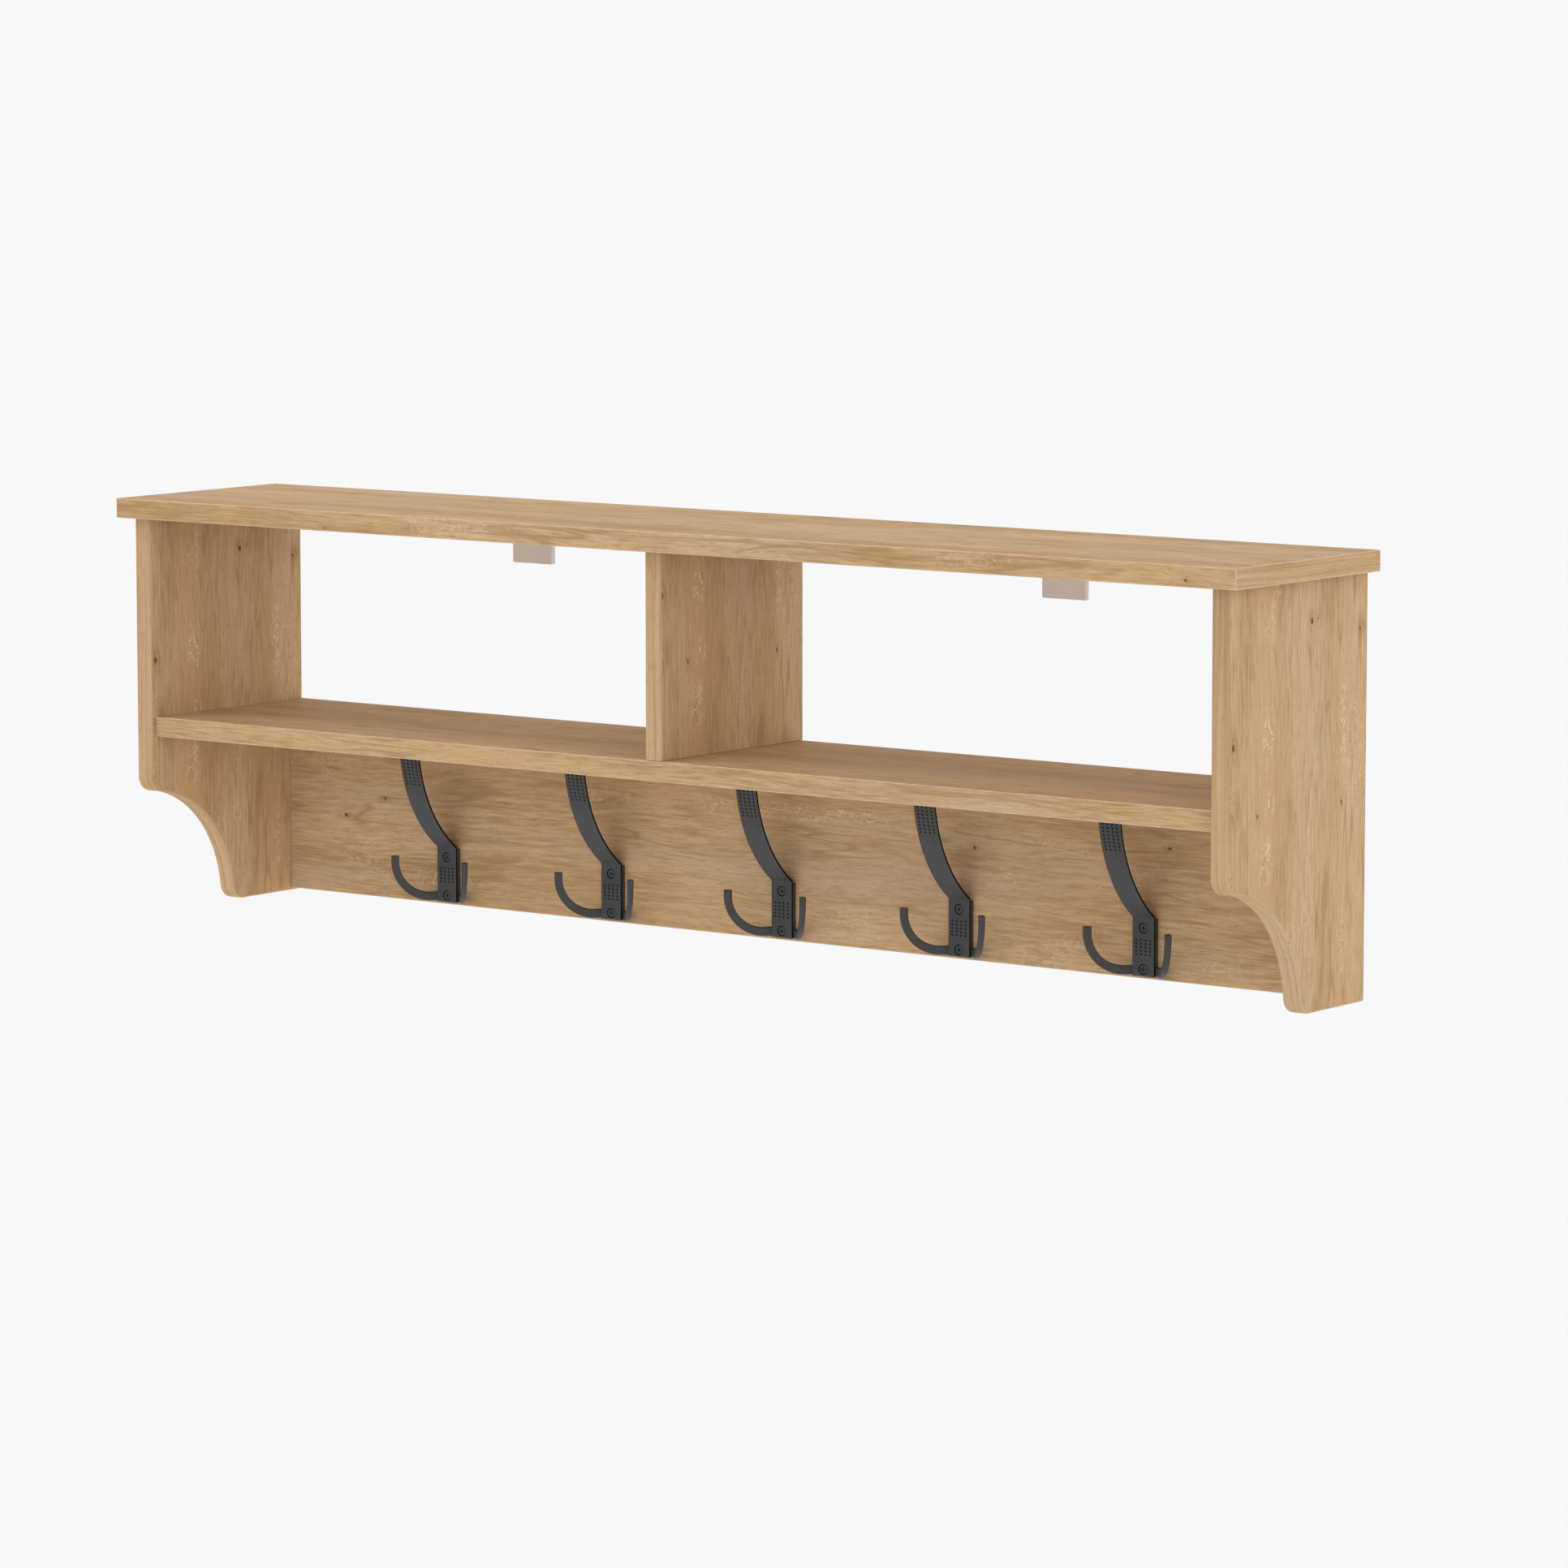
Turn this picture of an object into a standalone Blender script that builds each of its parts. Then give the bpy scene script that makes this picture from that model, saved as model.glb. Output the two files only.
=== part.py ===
"""Wall shelf: a top board, two side panels, a divider and a lower shelf around two open
compartments, above a rail with five coat hooks. Two angle brackets under the top board hold
it on the wall.

Metres, +Z up, front towards -Y. The origin is the middle of the top board's back edge, so the
wall is the plane y = 0. Run with: blender --background --python part.py
"""

import math

import bmesh
import bpy
from mathutils import Matrix, Vector

MM = 0.001
GAP = 0.3 * MM  # clearance between pieces that touch
BORE_GAP = 1.5 * GAP  # around the fittings in their bores
OVERCUT = 1 * MM  # by which a cutter stands out of the face that it starts from
SOFT_ANGLE = 40  # degrees; sharper edges are softened
SMOOTH_ANGLE = 35  # degrees; flatter edges are shaded smooth

# Boards
BOARD = 18 * MM
TOP_WIDTH = 1220 * MM
TOP_DEPTH = 221 * MM
CARCASS_WIDTH = 1195 * MM  # over the outer faces of the two side panels
CARCASS_HEIGHT = 364 * MM  # side panels, from the top board's underside down
SIDE_DEPTH = 210 * MM
COMPARTMENT_HEIGHT = 183 * MM
SHELF_DEPTH = 205 * MM
RAIL_HEIGHT = 160 * MM
EDGE_SOFTENING = 0.7 * MM

# Quarter-circle cut-out in the lower front corner of each side panel
COVE_RADIUS = 112 * MM
NOSE_RADIUS = 14.5 * MM  # rounding where the cut-out meets the straight edges
COVE_STEPS = 16
NOSE_STEPS = 4

# Hooks
HOOK_COUNT = 5
HOOK_PITCH = 193.5 * MM
HOOK_ROW_OFFSET = 4 * MM  # from the rail's middle to the row's middle
STRAP_WIDTH = 22.5 * MM
STRAP_THICKNESS = 2 * MM
PLATE_BOTTOM = -367.3 * MM
PLATE_KNEE = -316.5 * MM  # level of the crease between the plate and the arm
KNEE_RADIUS = 1.5 * MM  # on the inside of the crease
KNEE_TURN = 54  # degrees
KNEE_STEPS = 3
ARM_RADIUS = 130 * MM
ARM_TURN = 47.5  # degrees that the arm turns back towards the vertical
ARM_STEPS = 14
BACKING_THICKNESS = 3.8 * MM
BACKING_DROP = 1 * MM  # from the crease down to the backing plate's upper edge
PRONG_LEVEL = -363 * MM  # middle of the bar where it leaves the backing plate
PRONG_TIP = -324.8 * MM
PRONG_BEND_X = 11.1 * MM
PRONG_BEND_RADIUS = 5 * MM
PRONG_SPLAY = 45.3  # degrees between a prong and the rail, seen from above
PRONG_BEND_STEPS = 2
PRONG_RUN = 5.5 * MM  # straight stretch between the bend and the curl
PRONG_CURL_RADIUS = 32.7 * MM
PRONG_CURL_STEPS = 7
PRONG_BASE_HEIGHT = 8.2 * MM
PRONG_BASE_THICKNESS = 3.6 * MM
PRONG_TIP_HEIGHT = 7 * MM
PRONG_TIP_THICKNESS = 5.4 * MM
PRONG_CORNER = 0.28  # share of a half width that a corner takes off
PRONG_SLIM_SHARE = 0.3  # share of its length over which a prong keeps its base thickness

# Countersunk hook screws
HOOK_SCREW_LEVELS = {"upper": -325.5 * MM, "lower": -361.3 * MM}
HOOK_SCREW_SUNK = 0.35 * MM  # head below the face of the strap
HOOK_SCREW_HEAD = 3.9 * MM
HOOK_SCREW_SHANK = 1.9 * MM
HOOK_SCREW_RIM = 0.25 * MM
HOOK_SCREW_LENGTH = 20 * MM
RECESS_ARM = 2.3 * MM  # half length of a cross recess
RECESS_WIDTH = 1.1 * MM
RECESS_DEPTH = 1.2 * MM
RECESS_TAPER = 0.8  # size of a cross recess at its bottom, as a share of its mouth
SCREW_POINT_LENGTH = 3 * MM
SCREW_POINT_RADIUS = 0.4 * MM
STRAP_HOLE_GAP = 1.4 * GAP
PRONG_HOLE_GAP = 2 * GAP

# Angle brackets and their covers
ANGLE_WIDTH = 41 * MM
ANGLE_LEG = 38 * MM
ANGLE_THICKNESS = 2.5 * MM
ANGLE_WALL_HOLE = 3 * MM
ANGLE_WALL_HOLE_DROP = 24 * MM  # below the top board's underside
ANGLE_SCREW_SPREAD = 20 * MM
ANGLE_SCREW_Y = -25 * MM
ANGLE_SCREW_HEAD = 3.4 * MM
ANGLE_SCREW_HEAD_HEIGHT = 2.1 * MM
ANGLE_SCREW_CROWN = 0.6  # radius of the head's flat crown, as a share of the head's
ANGLE_SCREW_BULGE = (0.4, 0.92)  # shares of the head's height and radius between crown and rim
ANGLE_SCREW_SHANK = 1.75 * MM
ANGLE_SCREW_LENGTH = 15 * MM
COVER_WIDTH = 45.2 * MM
COVER_DEPTH = 7 * MM
COVER_LEG = 40.2 * MM
COVER_WALL = 1.5 * MM
COVER_ROUNDING = 1.2 * MM

# Joinery hidden in the boards
DOWEL_RADIUS = 4 * MM
DOWEL_LENGTH = 30 * MM
DOWEL_IN_FACE = 11 * MM  # length of dowel in the face of a board; the rest is in an edge
DOWEL_CHAMFER = 0.8 * MM
DIVIDER_DOWEL_Y = -145 * MM
SHELF_DOWEL_Y = -105 * MM
SIDE_FITTING_YS = {"back": -45 * MM, "front": -165 * MM}
RAIL_DOWEL_DROP = 40 * MM  # below the rail's middle
CAM_RADIUS = 7.5 * MM
CAM_DEPTH = 12.5 * MM
CAM_BACKSET = 34 * MM  # from a cam's centre to the face that its bolt stands in
CAM_RECESS_ARM = 4 * MM
CAM_RECESS_WIDTH = 1.4 * MM
CAM_RECESS_DEPTH = 2 * MM
DIVIDER_CAM_Y = -60 * MM
RAIL_CAM_RISE = 25 * MM  # above the rail's middle
BOLT_THREAD_RADIUS = 3 * MM
BOLT_THREAD_DEPTH = 11 * MM
BOLT_NECK_RADIUS = 2.2 * MM
BOLT_HEAD_RADIUS = 3.4 * MM
BOLT_HEAD_START = 29 * MM  # from the face that the bolt stands in
BOLT_HEAD_END = 32.5 * MM
BOLT_HEAD_CHAMFER = 1 * MM
BOLT_LEAD = 1.5 * MM  # tapered start of the thread
ROUND_SIDES = 12

# Levels and planes that follow from the dimensions above
TOP_SURFACE = BOARD / 2
TOP_UNDERSIDE = -BOARD / 2
SIDE_BOTTOM = TOP_UNDERSIDE - CARCASS_HEIGHT
SIDE_OUTER = CARCASS_WIDTH / 2
SIDE_INNER = SIDE_OUTER - BOARD
SHELF_SURFACE = TOP_UNDERSIDE - COMPARTMENT_HEIGHT
SHELF_UNDERSIDE = SHELF_SURFACE - BOARD
SHELF_MIDDLE = SHELF_SURFACE - BOARD / 2
RAIL_MIDDLE = SHELF_UNDERSIDE - RAIL_HEIGHT / 2
BAY_MIDDLE = (SIDE_INNER + BOARD / 2) / 2
BACKING_BACK = -BOARD - GAP
BACKING_FRONT = BACKING_BACK - BACKING_THICKNESS
STRAP_BACK = BACKING_FRONT - GAP
STRAP_FRONT = STRAP_BACK - STRAP_THICKNESS
HOOK_SCREW_FACE = STRAP_FRONT + HOOK_SCREW_SUNK

X = Vector((1, 0, 0))
Y = Vector((0, 1, 0))
Z = Vector((0, 0, 1))

# Name: (colour, roughness, metallic)
FINISHES = {
    "oak_laminate": ((0.50, 0.33, 0.19), 0.55, 0.0),
    "black_powder_coat": ((0.045, 0.045, 0.047), 0.5, 0.3),
    "taupe_plastic": ((0.83, 0.78, 0.73), 0.45, 0.0),
    "zinc_plated_steel": ((0.62, 0.62, 0.60), 0.35, 1.0),
    "beech_wood": ((0.62, 0.45, 0.28), 0.7, 0.0),
}


# ------------------------------------------------------------ scene and materials


def clear_scene():
    """Removes every object that the file starts with."""
    for item in list(bpy.data.objects):
        bpy.data.objects.remove(item, do_unlink=True)


def make_materials():
    """A Principled material for each finish."""
    materials = {}
    for name, (colour, roughness, metallic) in FINISHES.items():
        material = bpy.data.materials.new(name)
        material.use_nodes = True
        shader = material.node_tree.nodes["Principled BSDF"]
        shader.inputs["Base Color"].default_value = (*colour, 1)
        shader.inputs["Roughness"].default_value = roughness
        shader.inputs["Metallic"].default_value = metallic
        material.diffuse_color = (*colour, 1)
        materials[name] = material
    return materials


# ------------------------------------------------------------ mesh helpers


def link_object(name, bm, material=None, location=(0, 0, 0)):
    """Turns a bmesh into a linked object with one material."""
    bmesh.ops.recalc_face_normals(bm, faces=bm.faces)
    mesh = bpy.data.meshes.new(name)
    bm.to_mesh(mesh)
    bm.free()
    if material is not None:
        mesh.materials.append(material)
    item = bpy.data.objects.new(name, mesh)
    item.location = location
    bpy.context.collection.objects.link(item)
    return item


def make_cutter(name, bm):
    """A hidden guide object that Boolean modifiers use."""
    cutter = link_object(name, bm)
    cutter.hide_render = True
    cutter.display_type = "WIRE"
    return cutter


def combine(item, helper, operation="DIFFERENCE"):
    """Cuts a helper object out of an item, or joins it to the item."""
    boolean = item.modifiers.new(helper.name, "BOOLEAN")
    boolean.operation = operation
    boolean.solver = "EXACT"
    boolean.object = helper


def soften_edges(item, width, segments=1):
    """Takes the sharp edges off an item."""
    bevel = item.modifiers.new("soft_edges", "BEVEL")
    bevel.width = width
    bevel.segments = segments
    bevel.limit_method = "ANGLE"
    bevel.angle_limit = math.radians(SOFT_ANGLE)


def shade_round(mesh):
    """Shades curved faces smooth and keeps the corners sharp."""
    mesh.shade_smooth()
    mesh.set_sharp_from_angle(angle=math.radians(SMOOTH_ANGLE))


def finish_mesh(item, helpers):
    """Applies an item's modifiers, removes it and its helpers, and gives its final mesh."""
    view = bpy.context.evaluated_depsgraph_get()
    mesh = bpy.data.meshes.new_from_object(item.evaluated_get(view))
    mesh.name = item.name
    shade_round(mesh)
    for old in (item, *helpers):
        bpy.data.objects.remove(old, do_unlink=True)
    return mesh


def place_copy(name, mesh, location, along=None, towards=None):
    """An object that shares a mesh. Its local +Z points along, and its local +X towards."""
    item = bpy.data.objects.new(name, mesh)
    item.location = location
    if along is not None:
        first = towards if towards is not None else along.orthogonal().normalized()
        turn = Matrix((first, along.cross(first), along)).transposed()
        item.rotation_euler = turn.to_euler()
    bpy.context.collection.objects.link(item)
    return item


def join_rings(bm, rings):
    """Skins a list of rings of vertices and caps both ends."""
    count = len(rings[0])
    for lower, upper in zip(rings, rings[1:]):
        for i in range(count):
            j = (i + 1) % count
            bm.faces.new((lower[i], lower[j], upper[j], upper[i]))
    bm.faces.new(rings[0][::-1])
    bm.faces.new(rings[-1])


def add_box(bm, low, high):
    """A closed box between two corners."""
    low = Vector(low)
    high = Vector(high)
    scale = Matrix.Diagonal((*(high - low), 1))
    bmesh.ops.create_cube(bm, size=1, matrix=Matrix.Translation((low + high) / 2) @ scale)


def add_turned(bm, base, axis, profile, sides=ROUND_SIDES):
    """A closed turned body; its profile is a list of (distance along the axis, radius)."""
    side = axis.orthogonal().normalized()
    other = axis.cross(side)
    rings = []
    for along, radius in profile:
        ring = []
        for step in range(sides):
            angle = 2 * math.pi * step / sides
            spoke = side * math.cos(angle) + other * math.sin(angle)
            ring.append(bm.verts.new(base + axis * along + spoke * radius))
        rings.append(ring)
    join_rings(bm, rings)


def add_prism(bm, outline, start, end):
    """A plate with an outline in the (y, z) plane, from x = start to x = end."""
    near = [bm.verts.new((start, y, z)) for y, z in outline]
    far = [bm.verts.new((end, y, z)) for y, z in outline]
    join_rings(bm, [near, far])


def add_cross(bm, centre, axis, depth, arm, width):
    """A cross-shaped pocket that starts outside the face at the centre and ends at depth."""
    side = axis.orthogonal().normalized()
    other = axis.cross(side)
    half = width / 2
    corners = []
    for turn in range(4):
        along = (side, other, -side, -other)[turn]
        across = (other, -side, -other, side)[turn]
        corners.append(along * arm - across * half)
        corners.append(along * arm + across * half)
        corners.append(along * half + across * half)
    outside = [bm.verts.new(centre - axis * depth + corner) for corner in corners]
    inside = [bm.verts.new(centre + axis * depth + corner * RECESS_TAPER) for corner in corners]
    join_rings(bm, [outside, inside])


def arc_points(centre, radius, start, end, steps):
    """Points of a circular arc, angles in degrees, both ends included."""
    points = []
    for step in range(steps + 1):
        angle = math.radians(start + (end - start) * step / steps)
        y = centre[0] + radius * math.cos(angle)
        z = centre[1] + radius * math.sin(angle)
        points.append((y, z))
    return points


def trace_path(start, heading, moves):
    """Follows lines and arcs from a start; gives a list of (point, heading in radians).

    A move is (length, 0, 1) for a line, or (radius, degrees to the left, steps) for an arc.
    """
    point = Vector(start)
    angle = math.radians(heading)
    path = [(point.copy(), angle)]
    for size, turn, steps in moves:
        part = math.radians(turn) / steps
        for _ in range(steps):
            chord = 2 * size * math.sin(abs(part) / 2) if turn else size
            middle = angle + part / 2
            point = point + Vector((math.cos(middle), math.sin(middle))) * chord
            angle += part
            path.append((point.copy(), angle))
    return path


# ------------------------------------------------------------ hidden joinery


def dowel_places():
    """Name, mouth and direction of every dowel. The mouth is in the face of a board, and the
    dowel runs from inside that board along the direction into the other board's edge."""
    places = [
        ("divider_top", Vector((0, DIVIDER_DOWEL_Y, TOP_UNDERSIDE)), -Z),
        ("divider_bottom", Vector((0, DIVIDER_DOWEL_Y, SHELF_SURFACE)), Z),
    ]
    for word, side in (("left", -1), ("right", 1)):
        middle = side * (SIDE_OUTER - BOARD / 2)
        inner = side * SIDE_INNER
        for end, y in SIDE_FITTING_YS.items():
            mouth = Vector((middle, y, TOP_UNDERSIDE))
            places.append((f"side_{word}_{end}", mouth, -Z))
        mouth = Vector((inner, SHELF_DOWEL_Y, SHELF_MIDDLE))
        places.append((f"shelf_{word}", mouth, -side * X))
        mouth = Vector((inner, -BOARD / 2, RAIL_MIDDLE - RAIL_DOWEL_DROP))
        places.append((f"rail_{word}", mouth, -side * X))
    return places


def cam_places():
    """Name, mouth, direction and opening of every cam fitting. Its bolt stands in the face at
    the mouth and runs along the direction; the cam's own face looks towards the opening."""
    places = [
        ("divider_top", Vector((0, DIVIDER_CAM_Y, TOP_UNDERSIDE)), -Z, -X),
        ("divider_bottom", Vector((0, DIVIDER_CAM_Y, SHELF_SURFACE)), Z, -X),
    ]
    for word, side in (("left", -1), ("right", 1)):
        inner = side * SIDE_INNER
        for end, y in SIDE_FITTING_YS.items():
            mouth = Vector((inner, y, SHELF_MIDDLE))
            places.append((f"shelf_{word}_{end}", mouth, -side * X, -Z))
        mouth = Vector((inner, -BOARD / 2, RAIL_MIDDLE + RAIL_CAM_RISE))
        places.append((f"rail_{word}", mouth, -side * X, Y))
    return places


def make_joinery_cutters():
    """The bores of all dowels, of all cams and of all cam bolts."""
    dowels = bmesh.new()
    radius = DOWEL_RADIUS + BORE_GAP
    for _, mouth, direction in dowel_places():
        start = mouth - direction * (DOWEL_IN_FACE + GAP)
        add_turned(dowels, start, direction, [(0, radius), (DOWEL_LENGTH + 2 * BORE_GAP, radius)])

    cams = bmesh.new()
    radius = CAM_RADIUS + BORE_GAP
    for _, mouth, direction, opening in cam_places():
        start = mouth + direction * CAM_BACKSET + opening * BOARD
        add_turned(cams, start, -opening, [(0, radius), (BOARD / 2 + CAM_DEPTH + GAP, radius)])

    bolts = bmesh.new()
    narrow = BOLT_THREAD_RADIUS + BORE_GAP
    wide = BOLT_HEAD_RADIUS + BORE_GAP
    in_face = BOLT_THREAD_DEPTH + GAP
    for _, mouth, direction, _ in cam_places():
        start = mouth - direction * in_face
        end = in_face + CAM_BACKSET
        profile = [(0, narrow), (in_face, narrow), (in_face, wide), (end, wide)]
        add_turned(bolts, start, direction, profile)

    return [
        make_cutter("dowel_bores", dowels),
        make_cutter("cam_bores", cams),
        make_cutter("bolt_bores", bolts),
    ]


def make_dowels(material):
    """Beech dowels, as plain chamfered pins."""
    bm = bmesh.new()
    tip = DOWEL_RADIUS - DOWEL_CHAMFER
    profile = [
        (0, tip),
        (DOWEL_CHAMFER, DOWEL_RADIUS),
        (DOWEL_LENGTH - DOWEL_CHAMFER, DOWEL_RADIUS),
        (DOWEL_LENGTH, tip),
    ]
    add_turned(bm, Vector(), Z, profile)
    mesh = finish_mesh(link_object("wood_dowel", bm, material), [])
    for name, mouth, direction in dowel_places():
        place_copy("dowel_" + name, mesh, mouth - direction * DOWEL_IN_FACE, direction)


def make_cams(material):
    """Cam discs: each has a channel for its bolt's head and a cross recess to turn it.

    A disc's local +Z runs from its face into the board, and its bolt comes in along +X.
    """
    disc = bmesh.new()
    add_turned(disc, Vector(), Z, [(0, CAM_RADIUS), (CAM_DEPTH - GAP, CAM_RADIUS)])
    cam = link_object("cam", disc, material)
    channel = bmesh.new()
    radius = BOLT_HEAD_RADIUS + GAP
    start = Vector((-2 * CAM_RADIUS, 0, BOARD / 2 - GAP))
    add_turned(channel, start, X, [(0, radius), (2 * CAM_RADIUS + radius, radius)])
    cross = bmesh.new()
    add_cross(cross, Vector(), Z, CAM_RECESS_DEPTH, CAM_RECESS_ARM, CAM_RECESS_WIDTH)
    helpers = [make_cutter("channel", channel), make_cutter("cross", cross)]
    for helper in helpers:
        combine(cam, helper)
    mesh = finish_mesh(cam, helpers)
    for name, mouth, direction, opening in cam_places():
        face = mouth + direction * CAM_BACKSET + opening * (BOARD / 2 - GAP)
        place_copy("cam_" + name, mesh, face, -opening, direction)


def make_cam_bolts(material):
    """Bolts with a threaded end in the face of a board and a head inside the cam."""
    bm = bmesh.new()
    head = BOLT_THREAD_DEPTH + BOLT_HEAD_START
    profile = [
        (0, BOLT_NECK_RADIUS),
        (BOLT_LEAD, BOLT_THREAD_RADIUS),
        (BOLT_THREAD_DEPTH, BOLT_THREAD_RADIUS),
        (BOLT_THREAD_DEPTH, BOLT_NECK_RADIUS),
        (head, BOLT_NECK_RADIUS),
        (head + BOLT_HEAD_CHAMFER, BOLT_HEAD_RADIUS),
        (BOLT_THREAD_DEPTH + BOLT_HEAD_END, BOLT_HEAD_RADIUS),
    ]
    add_turned(bm, Vector(), Z, profile)
    mesh = finish_mesh(link_object("cam_bolt", bm, material), [])
    for name, mouth, direction, _ in cam_places():
        place_copy("cam_bolt_" + name, mesh, mouth - direction * BOLT_THREAD_DEPTH, direction)


# ------------------------------------------------------------ boards


def make_board(name, low, high, material, cutters):
    """A straight board with softened edges and the bores that reach it."""
    bm = bmesh.new()
    add_box(bm, low, high)
    board = link_object(name, bm, material)
    soften_edges(board, EDGE_SOFTENING)
    for cutter in cutters:
        combine(board, cutter)


def side_outline():
    """Side panel seen from the side: a rectangle whose lower front corner is a hollow
    quarter circle, with a rounded nose at each end of it."""
    reach = COVE_RADIUS + NOSE_RADIUS
    drop = math.sqrt(reach**2 - NOSE_RADIUS**2)
    lean = math.degrees(math.asin(NOSE_RADIUS / reach))
    corner = (-SIDE_DEPTH, SIDE_BOTTOM)
    front_nose = (corner[0] + NOSE_RADIUS, corner[1] + drop)
    lower_nose = (corner[0] + drop, corner[1] + NOSE_RADIUS)
    outline = [(0, SIDE_BOTTOM), (0, TOP_UNDERSIDE - GAP), (-SIDE_DEPTH, TOP_UNDERSIDE - GAP)]
    outline += arc_points(front_nose, NOSE_RADIUS, 180, 270 - lean, NOSE_STEPS)
    outline += arc_points(corner, COVE_RADIUS, 90 - lean, lean, COVE_STEPS)[1:-1]
    outline += arc_points(lower_nose, NOSE_RADIUS, 180 + lean, 270, NOSE_STEPS)
    return outline


def make_side_panel(name, start, material, cutters):
    """A side panel with its outer or inner face at x = start and the other one to its right."""
    bm = bmesh.new()
    add_prism(bm, side_outline(), start, start + BOARD)
    panel = link_object(name, bm, material)
    shade_round(panel.data)
    soften_edges(panel, EDGE_SOFTENING)
    for cutter in cutters:
        combine(panel, cutter)


def make_boards(material):
    """Top board, side panels, divider, lower shelf and hook rail."""
    cutters = make_joinery_cutters()
    span = SIDE_INNER - GAP
    rail_top = SHELF_UNDERSIDE - GAP
    make_board(
        "top_board",
        (-TOP_WIDTH / 2, -TOP_DEPTH, TOP_UNDERSIDE),
        (TOP_WIDTH / 2, 0, TOP_SURFACE),
        material,
        cutters + [make_bracket_pilots()],
    )
    make_side_panel("side_panel_left", -SIDE_OUTER, material, cutters)
    make_side_panel("side_panel_right", SIDE_INNER, material, cutters)
    make_board(
        "divider_panel",
        (-BOARD / 2, -SHELF_DEPTH, SHELF_SURFACE + GAP),
        (BOARD / 2, 0, TOP_UNDERSIDE - GAP),
        material,
        cutters,
    )
    make_board(
        "lower_shelf",
        (-span, -SHELF_DEPTH, SHELF_UNDERSIDE),
        (span, 0, SHELF_SURFACE),
        material,
        cutters,
    )
    make_board(
        "hook_rail",
        (-span, -BOARD, rail_top - RAIL_HEIGHT),
        (span, 0, rail_top),
        material,
        cutters + [make_hook_pilots()],
    )


# ------------------------------------------------------------ hooks


def hook_centres():
    """x of the middle of each hook, left to right."""
    first = HOOK_ROW_OFFSET - HOOK_PITCH * (HOOK_COUNT - 1) / 2
    return [first + HOOK_PITCH * number for number in range(HOOK_COUNT)]


def make_hook_pilots():
    """Pilot holes of the hook screws in the rail."""
    bm = bmesh.new()
    radius = HOOK_SCREW_SHANK + GAP
    for x in hook_centres():
        for level in HOOK_SCREW_LEVELS.values():
            head = Vector((x, HOOK_SCREW_FACE, level))
            add_turned(bm, head, Y, [(0, radius), (HOOK_SCREW_LENGTH + GAP, radius)])
    return make_cutter("hook_pilots", bm)


def make_hook_screws(material):
    """Countersunk screws with a cross recess."""
    neck = HOOK_SCREW_RIM + HOOK_SCREW_HEAD - HOOK_SCREW_SHANK
    profile = [
        (0, HOOK_SCREW_HEAD),
        (HOOK_SCREW_RIM, HOOK_SCREW_HEAD),
        (neck, HOOK_SCREW_SHANK),
        (HOOK_SCREW_LENGTH - SCREW_POINT_LENGTH, HOOK_SCREW_SHANK),
        (HOOK_SCREW_LENGTH, SCREW_POINT_RADIUS),
    ]
    body = bmesh.new()
    add_turned(body, Vector(), Z, profile)
    screw = link_object("hook_screw", body, material)
    cross = bmesh.new()
    add_cross(cross, Vector(), Z, RECESS_DEPTH, RECESS_ARM, RECESS_WIDTH)
    helper = make_cutter("recess", cross)
    combine(screw, helper)
    mesh = finish_mesh(screw, [helper])
    for number, x in enumerate(hook_centres(), start=1):
        for word, level in HOOK_SCREW_LEVELS.items():
            place_copy(f"hook_screw_{number}_{word}", mesh, (x, HOOK_SCREW_FACE, level), Y)


def strap_outline():
    """Side view of a strap: upright plate, crease, and an arm that curves up to its tip."""
    middle_radius = KNEE_RADIUS + STRAP_THICKNESS / 2
    tangent = KNEE_RADIUS * math.tan(math.radians(KNEE_TURN / 2))
    plate_height = PLATE_KNEE - tangent - PLATE_BOTTOM
    path = trace_path(
        (STRAP_FRONT + STRAP_THICKNESS / 2, PLATE_BOTTOM),
        90,
        [
            (plate_height, 0, 1),
            (middle_radius, KNEE_TURN, KNEE_STEPS),
            (ARM_RADIUS - STRAP_THICKNESS / 2, -ARM_TURN, ARM_STEPS),
        ],
    )
    front = []
    back = []
    for point, angle in path:
        left = Vector((-math.sin(angle), math.cos(angle))) * STRAP_THICKNESS / 2
        front.append(tuple(point + left))
        back.append(tuple(point - left))
    return front + back[::-1]


def make_straps(material):
    """Flat straps bent into a wall plate and an upper hook, with two countersunk holes."""
    bm = bmesh.new()
    add_prism(bm, strap_outline(), -STRAP_WIDTH / 2, STRAP_WIDTH / 2)
    strap = link_object("hook_strap", bm, material)
    wide = HOOK_SCREW_HEAD + STRAP_HOLE_GAP
    narrow = HOOK_SCREW_SHANK + STRAP_HOLE_GAP
    rim = HOOK_SCREW_SUNK + HOOK_SCREW_RIM
    holes = bmesh.new()
    through = STRAP_THICKNESS + OVERCUT
    profile = [(-OVERCUT, wide), (rim, wide), (rim + wide - narrow, narrow), (through, narrow)]
    for level in HOOK_SCREW_LEVELS.values():
        add_turned(holes, Vector((0, STRAP_FRONT, level)), Y, profile)
    helper = make_cutter("strap_holes", holes)
    combine(strap, helper)
    mesh = finish_mesh(strap, [helper])
    for number, x in enumerate(hook_centres(), start=1):
        place_copy(f"hook_strap_{number}", mesh, (x, 0, 0))


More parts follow.
